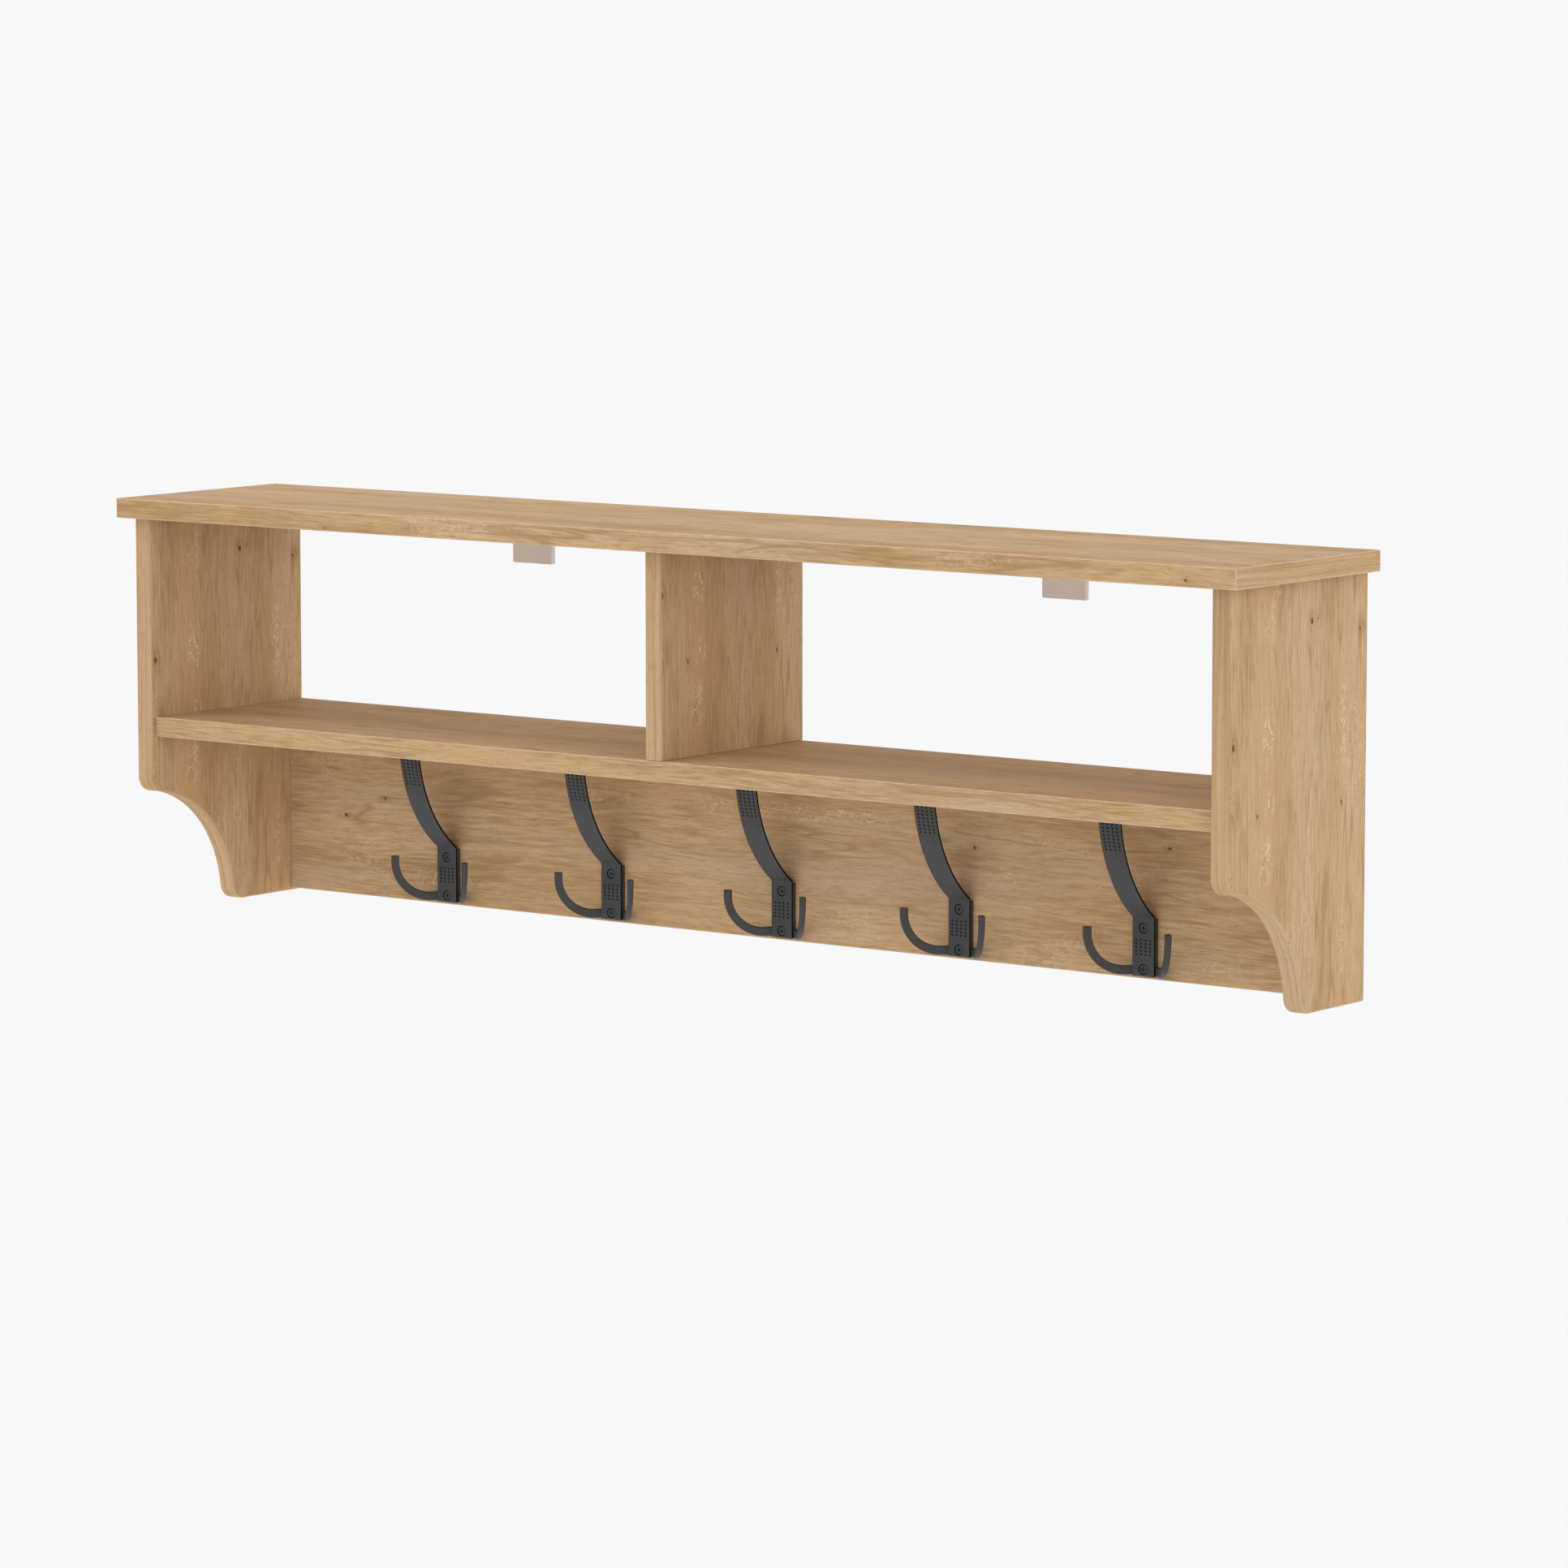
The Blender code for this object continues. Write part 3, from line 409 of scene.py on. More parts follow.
class Finish:
    """A new material, with short calls for the nodes that the finishes are made of."""

    def __init__(self, name):
        self.material = bpy.data.materials.new(name)
        self.material.use_nodes = True
        self.tree = self.material.node_tree
        self.shader = self.tree.nodes["Principled BSDF"]
        self.place = self.add("TexCoord").outputs["Object"]

    def put(self, socket, value):
        """Links a socket to another one, or sets its value."""
        if isinstance(value, bpy.types.NodeSocket):
            self.tree.links.new(value, socket)
        else:
            socket.default_value = value

    def add(self, kind, inputs=(), **settings):
        """Adds a node with its settings and inputs."""
        node = self.tree.nodes.new("ShaderNode" + kind)
        for key, value in settings.items():
            setattr(node, key, value)
        for key, value in dict(inputs).items():
            self.put(node.inputs[key], value)
        return node

    def calc(self, operation, *values):
        """One step of arithmetic."""
        node = self.add("Math", operation=operation)
        for socket, value in zip(node.inputs, values):
            self.put(socket, value)
        return node.outputs[0]

    def times(self, first, second):
        """A product."""
        return self.calc("MULTIPLY", first, second)

    def dot(self, vector, weights):
        """A weighted sum of a vector's parts."""
        node = self.add("VectorMath", operation="DOT_PRODUCT")
        self.put(node.inputs[0], vector)
        self.put(node.inputs[1], weights)
        return node.outputs["Value"]

    def stretch(self, along, across, scales, seed):
        """Coordinates of a pattern with its repeats per metre along the grain and across it."""
        inputs = {"X": self.times(along, scales[0]), "Y": self.times(across, scales[1]), "Z": seed}
        return self.add("CombineXYZ", inputs).outputs[0]

    def noise(self, vector, scale=1.0, detail=2.0, distortion=0.0):
        """Smooth noise from 0 to 1."""
        inputs = {"Vector": vector, "Scale": scale, "Detail": detail, "Distortion": distortion}
        return self.add("TexNoise", inputs).outputs[0]

    def span(self, value, low, high, start=0.0, end=1.0):
        """Carries a value from one range to another, with soft ends."""
        inputs = {"Value": value, "From Min": low, "From Max": high, "To Min": start, "To Max": end}
        return self.add("MapRange", inputs, interpolation_type="SMOOTHSTEP").outputs[0]

    def widen(self, noise, low, high):
        """Carries a noise to a range of its own."""
        return self.span(noise, NOISE_LOW, NOISE_HIGH, low, high)

    def centred(self, value):
        """A value from 0 to 1, less a half."""
        return self.calc("SUBTRACT", value, 0.5)

    def spot(self, at, place, reach):
        """A soft spot: 1 at its place, falling off over its reach in the two directions."""
        total = 0.0
        for value, centre, width in zip(at, place, reach):
            off = self.calc("DIVIDE", self.calc("SUBTRACT", value, centre), width)
            total = self.calc("MULTIPLY_ADD", off, off, total)
        return self.calc("EXPONENT", self.times(total, -1))

    def ramp(self, value, stops):
        """A colour ramp with the given (position, colour) stops."""
        node = self.add("ValToRGB", {"Fac": value})
        elements = node.color_ramp.elements
        while len(elements) < len(stops):
            elements.new(1.0)
        for element, (position, colour) in zip(elements, stops):
            element.position = position
            element.color = (*colour, 1)
        return node.outputs["Color"]

    def shades(self, noise, colours):
        """A colour that changes with a noise from one colour to another."""
        return self.ramp(noise, ((NOISE_LOW, colours[0]), (NOISE_HIGH, colours[1])))

    def blend(self, share, first, second):
        """Mixes a colour with a second, plain one."""
        node = self.add("Mix", data_type="RGBA")
        self.put(node.inputs[0], share)
        self.put(node.inputs[6], first)
        self.put(node.inputs[7], (*second, 1))
        return node.outputs[2]

    def bump(self, height, distance, strength):
        """Raises the surface by the height times the distance."""
        inputs = {"Height": height, "Distance": distance, "Strength": strength}
        self.put(self.shader.inputs["Normal"], self.add("Bump", inputs).outputs[0])

    def set(self, **values):
        """Sets inputs of the shader; an underscore stands for a space."""
        for key, value in values.items():
            self.put(self.shader.inputs[key.replace("_", " ")], value)


OAK_DARK = (0.395, 0.240, 0.116)
OAK_MIDDLE = (0.545, 0.358, 0.193)
OAK_LIGHT = (0.640, 0.447, 0.262)
OAK_GREY = (0.552, 0.412, 0.278)
OAK_WARM = (0.580, 0.350, 0.170)
OAK_FLECK = (0.760, 0.590, 0.400)
OAK_KNOT = (0.170, 0.088, 0.036)
# lighter colour of the rounded cut corners: partly the trimmed band, partly a painted highlight
OAK_SEAM_HIGHLIGHT = (0.700, 0.500, 0.300)
COAT_COLOURS = (0.036, 0.037, 0.039), (0.047, 0.047, 0.048)
# near-black colours of painted shade, for the strap's sides, dots and holes
PAINTED_SHADE_COLOURS = (0.003, 0.003, 0.003), (0.005, 0.005, 0.005)
PLASTIC_COLOURS = (0.815, 0.765, 0.71), (0.855, 0.805, 0.75)
ZINC_COLOURS = (0.56, 0.56, 0.54), (0.68, 0.68, 0.67)
BEECH_COLOURS = (0.56, 0.38, 0.22), (0.70, 0.52, 0.33)
BEECH_FLECK = (0.34, 0.19, 0.09)

# Patterns of the oak: repeats per metre along and across the grain, number of the pattern, detail
DRIFT = (2.2, 7.0), 0, 2
WOBBLE = (300.0, 420.0), 41, 2
BANDS = (2.4, 24.0), 3, 3
STREAKS = (9.0, 230.0), 7, 2
FIBRES = (34.0, 520.0), 11, 2
PATCHES = (2.2, 15.0), 17, 3
PORES = (90.0, 1100.0), 23, 1
VEINS = (3.4, 52.0), 29, 1
VEIN_BREAKS = (8.0, 30.0), 30, 1
SMUDGES = (17.0, 62.0), 43, 2
SQUIGGLES = (105.0, 160.0), 37, 1
SQUIGGLE_AREAS = (9.0, 26.0), 31, 2

FACE_WEIGHTS = (0.95, 0.40, 1.20)  # of the bands, streaks and fibres in the tone
EDGE_WEIGHTS = (0.40, 1.10, 0.80)
EDGE_SCALE = 0.3  # the tone's patterns are longer on an edge band
TONE_STOPS = ((0.15, OAK_DARK), (0.5, OAK_MIDDLE), (0.85, OAK_LIGHT))
WOBBLE_SIZE = 5 * MM
WOBBLE_TILT = -0.6  # share of the wobble that goes across the grain
KNOT_CORE = 2.4, 1.5  # reach along and across the grain, in radii of the knot
KNOT_HALO = 9, 4
KNOT_PUSH = -0.6  # how far the grain goes round a knot


class Oak(Finish):
    """A finish with a grain, which wanders and runs round its knots.

    Along and across weigh x, y and z into the two directions of the grain.
    """

    def __init__(self, name, along, across, shift, seed, wander, knots):
        super().__init__(name)
        self.seed = seed
        self.run = self.calc("ADD", self.dot(self.place, along), shift)
        self.side = self.dot(self.place, across)
        drift = self.centred(self.pattern(DRIFT, self.side))
        self.line = self.calc("ADD", self.side, self.times(drift, 4 * wander))
        wobble = self.times(self.centred(self.pattern(WOBBLE, self.side)), WOBBLE_SIZE)
        rough_side = self.calc("MULTIPLY_ADD", wobble, WOBBLE_TILT, self.side)
        self.rough = (self.calc("ADD", self.run, wobble), rough_side)
        self.core = 0.0
        self.halo = 0.0
        for knot_run, knot_side, radius in knots:
            place = (knot_run, knot_side)
            near = self.spot(self.rough, place, [radius * share for share in KNOT_CORE])
            reach = [radius * share for share in KNOT_HALO]
            around = self.spot((self.run, self.side), place, reach)
            off = self.times(self.calc("SUBTRACT", self.side, knot_side), around)
            self.line = self.calc("MULTIPLY_ADD", off, KNOT_PUSH, self.line)
            self.core = self.calc("MAXIMUM", self.core, self.span(near, 0.50, 0.80))
            self.halo = self.calc("MAXIMUM", self.halo, around)

    def pattern(self, kind, side, scale=1.0, distortion=0.0):
        """One of the oak's patterns, drawn out along the grain."""
        (along, across), number, detail = kind
        place = self.stretch(self.run, side, (scale * along, across), self.seed + number)
        return self.noise(place, detail=detail, distortion=distortion)

    def tone(self, edge):
        """Light and dark of the grain, 0.5 in the middle, and the fibres in it."""
        weights = EDGE_WEIGHTS if edge else FACE_WEIGHTS
        scale = EDGE_SCALE if edge else 1.0
        parts = [self.pattern(kind, self.line, scale) for kind in (BANDS, STREAKS, FIBRES)]
        tone = 0.5 - sum(weights) / 2
        for part, weight in zip(parts, weights):
            tone = self.calc("MULTIPLY_ADD", part, weight, tone)
        return tone, parts[-1]

    def veins(self):
        """Share of the thin dark lines, which follow the grain and break off here and there."""
        veins = self.calc("ABSOLUTE", self.centred(self.pattern(VEINS, self.line)))
        unbroken = self.span(self.pattern(VEIN_BREAKS, self.line), 0.40, 0.56)
        return self.times(self.span(veins, 0.0, 0.020, 0.75, 0.0), unbroken)

    def squiggles(self):
        """Share of fine curly lines."""
        curls = self.pattern(SQUIGGLES, self.side, distortion=0.8)
        return self.span(self.calc("ABSOLUTE", self.centred(curls)), 0.01, 0.045, 1.0, 0.0)

    def fleck_areas(self, flecks):
        """Strength of the pale squiggles: faint here and there, and stronger in the flecks."""
        where = self.span(self.pattern(SQUIGGLE_AREAS, self.side), 0.56, 0.70, 0.0, 0.35)
        for fleck_run, fleck_side, reach_run, reach_side, strength in flecks:
            patch = self.spot(self.rough, (fleck_run, fleck_side), (reach_run, reach_side))
            where = self.calc("MAXIMUM", where, self.span(patch, 0.15, 0.85, 0.0, strength))
        return where


def oak(name, along, across, shift=0.0, seed=0.0, wander=0.006, knots=(), flecks=(), edge=False):
    """Oak-look laminate, for the face of a board or for an edge band.

    A knot is (along, across, radius), and a fleck is a patch of pale squiggles, (along, across,
    half length, half width, strength). Only faces have them.
    """
    finish = Oak(name, along, across, shift, seed, wander, knots)
    tone, fibres = finish.tone(edge)
    patches = finish.pattern(PATCHES, finish.line)
    pores = finish.span(finish.pattern(PORES, finish.line), 0.56, 0.70)
    colour = finish.ramp(tone, TONE_STOPS)
    colour = finish.blend(finish.span(patches, 0.50, 0.70, 0.0, 0.55), colour, OAK_GREY)
    colour = finish.blend(finish.span(patches, 0.50, 0.32, 0.0, 0.45), colour, OAK_WARM)
    colour = finish.blend(finish.times(pores, 0.55), colour, OAK_DARK)
    if not edge:
        smudges = finish.span(finish.pattern(SMUDGES, finish.line), 0.58, 0.74, 0.0, 0.5)
        squiggles = finish.squiggles()
        pale = finish.times(squiggles, finish.fleck_areas(flecks))
        colour = finish.blend(finish.veins(), colour, OAK_DARK)
        colour = finish.blend(smudges, colour, OAK_DARK)
        colour = finish.blend(pale, colour, OAK_FLECK)
    if knots:
        cracks = finish.times(squiggles, finish.span(finish.halo, 0.45, 0.95, 0.0, 0.5))
        colour = finish.blend(finish.times(finish.halo, 0.30), colour, OAK_DARK)
        colour = finish.blend(finish.calc("MAXIMUM", cracks, finish.core), colour, OAK_KNOT)
    relief = finish.calc("SUBTRACT", finish.times(fibres, 0.6), pores)
    finish.bump(relief, 0.04 * MM, 0.6)
    roughness = finish.span(tone, 0.2, 0.8, 0.58, 0.68)
    finish.set(Base_Color=colour, Roughness=roughness, Specular_IOR_Level=0.04)
    return finish.material


def oak_seam():
    """The cut corner of an edge band, a little lighter than the boards: partly the band's trimmed
    colour, partly a painted highlight along the rounded edge.
    """
    finish = Finish("oak_seam")
    mottle = finish.noise(finish.place, scale=90.0, detail=3)
    colour = finish.shades(mottle, (OAK_MIDDLE, OAK_SEAM_HIGHLIGHT))
    finish.set(Base_Color=colour, Roughness=finish.widen(mottle, 0.45, 0.55))
    return finish.material


def powder_coat(name, colours, shine):
    """Fine matt black powder coat with its faint orange-peel texture."""
    finish = Finish(name)
    grain = finish.noise(finish.place, scale=2600.0)
    cloud = finish.noise(finish.place, scale=45.0, detail=3)
    finish.bump(grain, 0.03 * MM, 0.5)
    colour = finish.shades(cloud, colours)
    roughness = finish.widen(grain, 0.46, 0.60)
    finish.set(Base_Color=colour, Roughness=roughness, Specular_IOR_Level=shine)
    return finish.material


def moulded_plastic():
    """Taupe plastic with the fine sparkle of an etched mould."""
    finish = Finish("moulded_plastic")
    grain = finish.noise(finish.place, scale=1500.0)
    cloud = finish.noise(finish.place, scale=30.0)
    colour = finish.shades(cloud, PLASTIC_COLOURS)
    finish.bump(grain, 0.02 * MM, 0.5)
    finish.set(Base_Color=colour, Roughness=finish.widen(grain, 0.40, 0.52))
    return finish.material


def zinc_plate():
    """Zinc-plated steel with faint brushing and cloudy reflections."""
    finish = Finish("zinc_plate")
    along = finish.dot(finish.place, (1, 0, 0))
    across = finish.dot(finish.place, (0, 1, 1))
    lines = finish.noise(finish.stretch(along, across, (60.0, 1800.0), 1.0))
    cloud = finish.noise(finish.place, scale=120.0, detail=3)
    colour = finish.shades(cloud, ZINC_COLOURS)
    finish.bump(lines, 0.01 * MM, 0.4)
    finish.set(Base_Color=colour, Roughness=finish.widen(cloud, 0.28, 0.42), Metallic=1.0)
    return finish.material


def beech():
    """Raw beech of the dowels: pale, with short brown flecks along them."""
    finish = Finish("beech")
    run = finish.dot(finish.place, (0, 0, 1))
    side = finish.dot(finish.place, (1, 1, 0))
    fibres = finish.noise(finish.stretch(run, side, (60.0, 1500.0), 2.0), detail=3)
    flecks = finish.noise(finish.stretch(run, side, (300.0, 2500.0), 5.0), detail=1)
    flecks = finish.span(flecks, 0.62, 0.7, 0, 0.6)
    colour = finish.blend(flecks, finish.shades(fibres, BEECH_COLOURS), BEECH_FLECK)
    finish.bump(fibres, 0.05 * MM, 0.6)
    finish.set(Base_Color=colour, Roughness=finish.widen(fibres, 0.6, 0.75))
    return finish.material


# -------- joinery

FITTINGS = [node.removeprefix("cam_bolt_") for node in nodes_of("cam_bolt_")]
CAM_INWARDS = {"divider": X, "rail": -Y, "shelf": Z}


def dowel_axes():
    """Start, direction and length of every dowel, by node."""
    axes = {}
    for node in nodes_of("dowel_"):
        extent = size(node)
        axes[node] = along_node(node, (X, Y, Z)[list(extent).index(max(extent))])
    return axes


def cam_axes():
    """Face centre, inward direction, bolt direction and depth of every cam, by fitting."""
    axes = {}
    for fitting in FITTINGS:
        node = "cam_" + fitting
        face, inwards, depth = along_node(node, CAM_INWARDS[fitting.split("_")[0]])
        bolt = middle(node) - middle("cam_bolt_" + fitting)
        ahead = max((X, -X, Y, -Y, Z, -Z), key=bolt.dot)
        axes[fitting] = (face, inwards, ahead, depth)
    return axes


def bolt_axes():
    """Threaded end, direction and length of every cam bolt, by fitting."""
    axes = {}
    for fitting, (_, _, ahead, _) in cam_axes().items():
        axes[fitting] = along_node("cam_bolt_" + fitting, ahead)
    return axes


def make_bores(name, radius, axes, before=0.0, after=0.0, sides=ROUND_SIDES):
    """A helper with a bore along each axis, given as (start, direction, length)."""
    bm = bmesh.new()
    for start, axis, length in axes:
        add_turned(bm, start, axis, [(-before, radius), (length + after, radius)], sides)
    return link_object(name, bm)


def fastener_bores():
    """Bores of the dowels, cams, cam bolts and screws, one helper for each kind."""
    cams = [(face, inwards, depth) for face, inwards, _, depth in cam_axes().values()]
    angle = [along_node(node, Z) for node in nodes_of("angle_screw_")]
    hook = [along_node(node, Y) for node in nodes_of("hook_screw_")]
    return [
        make_bores("dowel_bores", DOWEL_RADIUS + GAP, dowel_axes().values(), GAP, GAP),
        make_bores("cam_bores", CAM_RADIUS + CAM_GAP, cams, OVERCUT, GAP),
        make_bores("bolt_bores", BOLT_HEAD_RADIUS + GAP, bolt_axes().values(), GAP),
        make_bores("angle_pilots", ANGLE_SCREW_SHANK + GAP, angle, 0, GAP, PILOT_SIDES),
        make_bores("hook_pilots", SCREW_SHANK + GAP, hook, 0, GAP, PILOT_SIDES),
    ]


def make_dowels(material):
    """Fluted beech dowels with chamfered ends."""
    _, _, length = next(iter(dowel_axes().values()))
    tip = DOWEL_RADIUS - DOWEL_CHAMFER
    profile = [(0, tip), (DOWEL_CHAMFER, DOWEL_RADIUS)]
    profile += [(length - DOWEL_CHAMFER, DOWEL_RADIUS), (length, tip)]
    flutes = (4 * DOWEL_FLUTES, FLUTE_DEPTH, DOWEL_FLUTES)
    mesh = finish_mesh(turned_object("fluted_dowel", profile, *flutes), sharp=50)
    for node, (start, axis, _) in dowel_axes().items():
        show(node, mesh, "beech_wood", [material], start, axis)


def make_cams(material):
    """Die-cast cams: a rimmed disc with a cross recess and the channel of the bolt's head."""
    _, _, _, depth = next(iter(cam_axes().values()))
    profile = [
        (CAM_DISH, CAM_DISH_SHARE * CAM_RADIUS),
        (CAM_DISH, CAM_RADIUS - CAM_RIM - CAM_RIM_SLOPE),
        (0, CAM_RADIUS - CAM_RIM),
        (0, CAM_RADIUS - CAM_CHAMFER),
        (CAM_CHAMFER, CAM_RADIUS),
        (depth - CAM_CHAMFER, CAM_RADIUS),
        (depth, CAM_RADIUS - CAM_CHAMFER),
    ]
    cam = turned_object("cam", profile)
    radius = BOLT_HEAD_RADIUS + GAP
    level = size("top_board").z / 2 - GAP
    start = Vector((-2 * CAM_RADIUS, 0, level))
    channel = make_bores("channel", radius, [(start, X, 2 * CAM_RADIUS + radius)])
    helpers = [channel, cross_cutter(Z * CAM_CHAMFER, CAM_CROSS, CAM_CROSS_TAPER)]
    combine(cam, helpers)
    mesh = finish_mesh(cam, helpers)
    for fitting, (face, inwards, ahead, _) in cam_axes().items():
        show("cam_" + fitting, mesh, "zinc_plated_steel", [material], face, inwards, ahead)


def make_cam_bolts(material):
    """Cam bolts with a ridged thread, a collar, a neck and a head."""
    _, _, length = next(iter(bolt_axes().values()))
    root = BOLT_THREAD_RADIUS - BOLT_THREAD_DEPTH
    end = BOLT_THREAD_LENGTH - BOLT_TIP
    head = length - BOLT_HEAD_LENGTH
    profile = [(0, root - BOLT_TIP)]
    profile += thread(BOLT_TIP, end, root, BOLT_THREAD_RADIUS, 0.4, 0.55)
    profile += [
        (end, root),
        (BOLT_THREAD_LENGTH, BOLT_NECK_RADIUS),
        (head - BOLT_HEAD_SLOPE, BOLT_NECK_RADIUS),
        (head, BOLT_HEAD_RADIUS),
        (length - BOLT_HEAD_CHAMFER, BOLT_HEAD_RADIUS),
        (length, BOLT_HEAD_RADIUS - BOLT_HEAD_CHAMFER),
    ]
    mesh = finish_mesh(turned_object("cam_bolt", profile, BOLT_SIDES))
    for fitting, (start, ahead, _) in bolt_axes().items():
        show("cam_bolt_" + fitting, mesh, "zinc_plated_steel", [material], start, ahead)


# -------- boards


def assign_grain(mesh, faces, seam_highlight):
    """Gives each face of a board its material: 0 face grain, 1 edge grain, 2 cut corner, lighter
    with a painted highlight.

    Faces holds the axes whose faces show the face grain.
    """
    for polygon in mesh.polygons:
        parts = [abs(value) for value in polygon.normal]
        if max(parts[axis] for axis in faces) > FLAT_NORMAL:
            polygon.material_index = 0
        # the rounded corners between the flat faces take the lighter colour, partly a painted
        # highlight
        elif seam_highlight and max(parts) <= FLAT_NORMAL:
            polygon.material_index = 2
        else:
            polygon.material_index = 1


def finish_board(node, board, faces, materials, cutters):
    """Rounds a board's edges, cuts its bores, and shows it with its grain."""
    round_edges(board, EDGE_ROUNDING)
    combine(board, cutters)
    mesh = finish_mesh(board)
    assign_grain(mesh, faces, seam_highlight=len(materials) > 2)
    show(node, mesh, "oak_laminate", materials)


def side_outline(low, high, inset):
    """Side panel seen from the side: its lower front corner is a hollow quarter circle with a
    rounded nose at each end. Its front and lower edges stand back by the inset."""
    reach = COVE_RADIUS + NOSE_RADIUS
    drop = sqrt(reach**2 - NOSE_RADIUS**2)
    lean = degrees(asin(NOSE_RADIUS / reach))
    nose = NOSE_RADIUS - inset
    cove = COVE_RADIUS + inset
    front_nose = (low.y + NOSE_RADIUS, low.z + drop)
    lower_nose = (low.y + drop, low.z + NOSE_RADIUS)
    outline = [(high.y, low.z + inset), (high.y, high.z), (low.y + inset, high.z)]
    outline += arc_points(front_nose, nose, 180, 270 - lean, NOSE_STEPS)
    outline += arc_points((low.y, low.z), cove, 90 - lean, lean, COVE_STEPS)[1:-1]
    outline += arc_points(lower_nose, nose, 180 + lean, 270, NOSE_STEPS)
    return outline


def divider_outline(low, high, inset):
    """Divider seen from the side, with its front edge standing back by the inset."""
    front = low.y + inset
    return [(high.y, low.z), (high.y, high.z), (front, high.z), (front, low.z)]


def make_upright(node, outline, materials, cutters):
    """An upright board with an outline of (low, high, inset), well rounded along its front."""
    low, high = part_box(node)
    sections = []
    for step in range(UPRIGHT_STEPS + 1):
        turn = pi / 2 * step / UPRIGHT_STEPS
        into = UPRIGHT_ROUNDING * (1 - cos(turn))
        inset = UPRIGHT_ROUNDING * (1 - sin(turn))
        sections.append((into, outline(low, high, inset)))
    bm = bmesh.new()
    rings = []
    for into, ring in sections:
        rings.append([bm.verts.new((low.x + into, y, z)) for y, z in ring])
    for into, ring in reversed(sections):
        rings.append([bm.verts.new((high.x - into, y, z)) for y, z in ring])
    join_rings(bm, rings)
    board = link_object(node + "_blank", bm)
    finish_board(node, board, (0,), materials, cutters)


SIDE_KNOTS = (  # level, depth and radius
    (-0.045, -0.086, 1.8 * MM),
    (-0.043, -0.077, 0.9 * MM),
    (-0.057, -0.011, 1.2 * MM),
    (-0.200, -0.167, 1.2 * MM),
    (-0.200, -0.038, 1.2 * MM),
    (-0.140, -0.204, 1.9 * MM),
)
SIDE_FLECKS = (  # level, depth, half length, half width and strength
    (-0.133, -0.151, 0.026, 0.010, 0.80),
    (-0.190, -0.147, 0.012, 0.007, 0.80),
    (-0.238, -0.153, 0.022, 0.011, 0.80),
    (-0.140, -0.036, 0.050, 0.006, 0.80),
    (-0.318, -0.036, 0.030, 0.005, 0.80),
)
DIVIDER_SHIFT = -0.092  # the divider is cut further along the same decor
RAIL_KNOTS = (
    (-0.510, -0.278, 1.4 * MM),
    (-0.462, -0.259, 1.0 * MM),
    (0.210, -0.253, 1.1 * MM),
    (0.414, -0.238, 1.4 * MM),
)
RAIL_FLECKS = ((0.020, -0.236, 0.150, 0.009, 0.60), (-0.390, -0.330, 0.050, 0.008, 0.50))
TOP_KNOTS = ((0.561, -0.224, 1.2 * MM), (0.146, -0.150, 1.0 * MM), (-0.359, -0.227, 0.8 * MM))
SHELF_KNOTS = ((-0.120, -0.060, 1.1 * MM), (0.330, -0.150, 1.0 * MM))


def make_boards():
    """Top board, side panels, divider, lower shelf and hook rail."""
    cutters = fastener_bores()
    # the rounded corners of the top, shelf and rail take a lighter colour: partly the trimmed band,
    # partly a painted highlight
    seam_highlight = oak_seam()
    top = oak("oak_top", (1, 0, 0), (0, 1, 1), seed=4.4, wander=0.010, knots=TOP_KNOTS)
    end = oak("oak_top_end", (0, 1, 0), (0, 0, 1), seed=21.0, edge=True)
    shelf = oak("oak_shelf", (1, 0, 0), (0, 1, 1), seed=5.0, wander=0.010, knots=SHELF_KNOTS)
    decor = {"seed": 10.6, "wander": 0.010, "knots": RAIL_KNOTS, "flecks": RAIL_FLECKS}
    rail = oak("oak_rail", (1, 0, 0), (0, -1, 1), **decor)
    decor = {"seed": 13.0, "knots": SIDE_KNOTS, "flecks": SIDE_FLECKS}
    side = oak("oak_side", (0, 0, 1), (0, 1, 0), **decor)
    divider = oak("oak_divider", (0, 0, 1), (0, 1, 0), shift=DIVIDER_SHIFT, **decor)
    upright_edge = oak("oak_edge", (0, 1, -1), (1, 0, 0), seed=31.0, wander=0.002, edge=True)

    for node, face in (("top_board", top), ("lower_shelf", shelf), ("hook_rail", rail)):
        board = solid(node + "_blank", add_box, *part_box(node))
        finish_board(node, board, (1, 2), [face, end, seam_highlight], cutters)
    make_upright("divider_panel", divider_outline, [divider, upright_edge], cutters)
    for node in ("side_panel_left", "side_panel_right"):
        make_upright(node, side_outline, [side, upright_edge], cutters)
    for cutter in cutters:
        bpy.data.objects.remove(cutter, do_unlink=True)


# -------- hooks


def hook_places(kind):
    """The hooks' nodes of one kind, each with the bottom middle of its strap's back."""
    places = {}
    for strap in nodes_of("hook_strap_"):
        low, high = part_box(strap)
        node = strap.replace("strap", kind)
        places[node] = Vector(((low.x + high.x) / 2, high.y, low.z))
    return places


def strap_lengths():
    """Lengths of the strap's plate, knee and arm along its middle line."""
    tangent = KNEE_RADIUS * tan(radians(KNEE_TURN / 2))
    plate = KNEE_RISE - tangent
    knee = (KNEE_RADIUS + STRAP_THICKNESS / 2) * radians(KNEE_TURN)
    arm = (ARM_RADIUS - STRAP_THICKNESS / 2) * radians(ARM_TURN)
    return plate, knee, arm


def bend_strap(point):
    """Carries a point of the flat strap, upright with its front at -Y, to the bent strap."""
    plate, knee, arm = strap_lengths()
    depth = point.y
    if point.z <= plate:
        return point
    knee_radius = KNEE_RADIUS + STRAP_THICKNESS / 2
    turn = min(point.z - plate, knee) / knee_radius
    y = knee_radius * (cos(turn) - 1)
    z = plate + knee_radius * sin(turn)
    heading = pi / 2 + turn
    if point.z > plate + knee:
        arm_radius = ARM_RADIUS - STRAP_THICKNESS / 2
        back = (point.z - plate - knee) / arm_radius
        y += arm_radius * (sin(heading) - sin(heading - back))
        z += arm_radius * (cos(heading - back) - cos(heading))
        heading -= back
    return Vector((point.x, y + sin(heading) * depth, z - cos(heading) * depth))


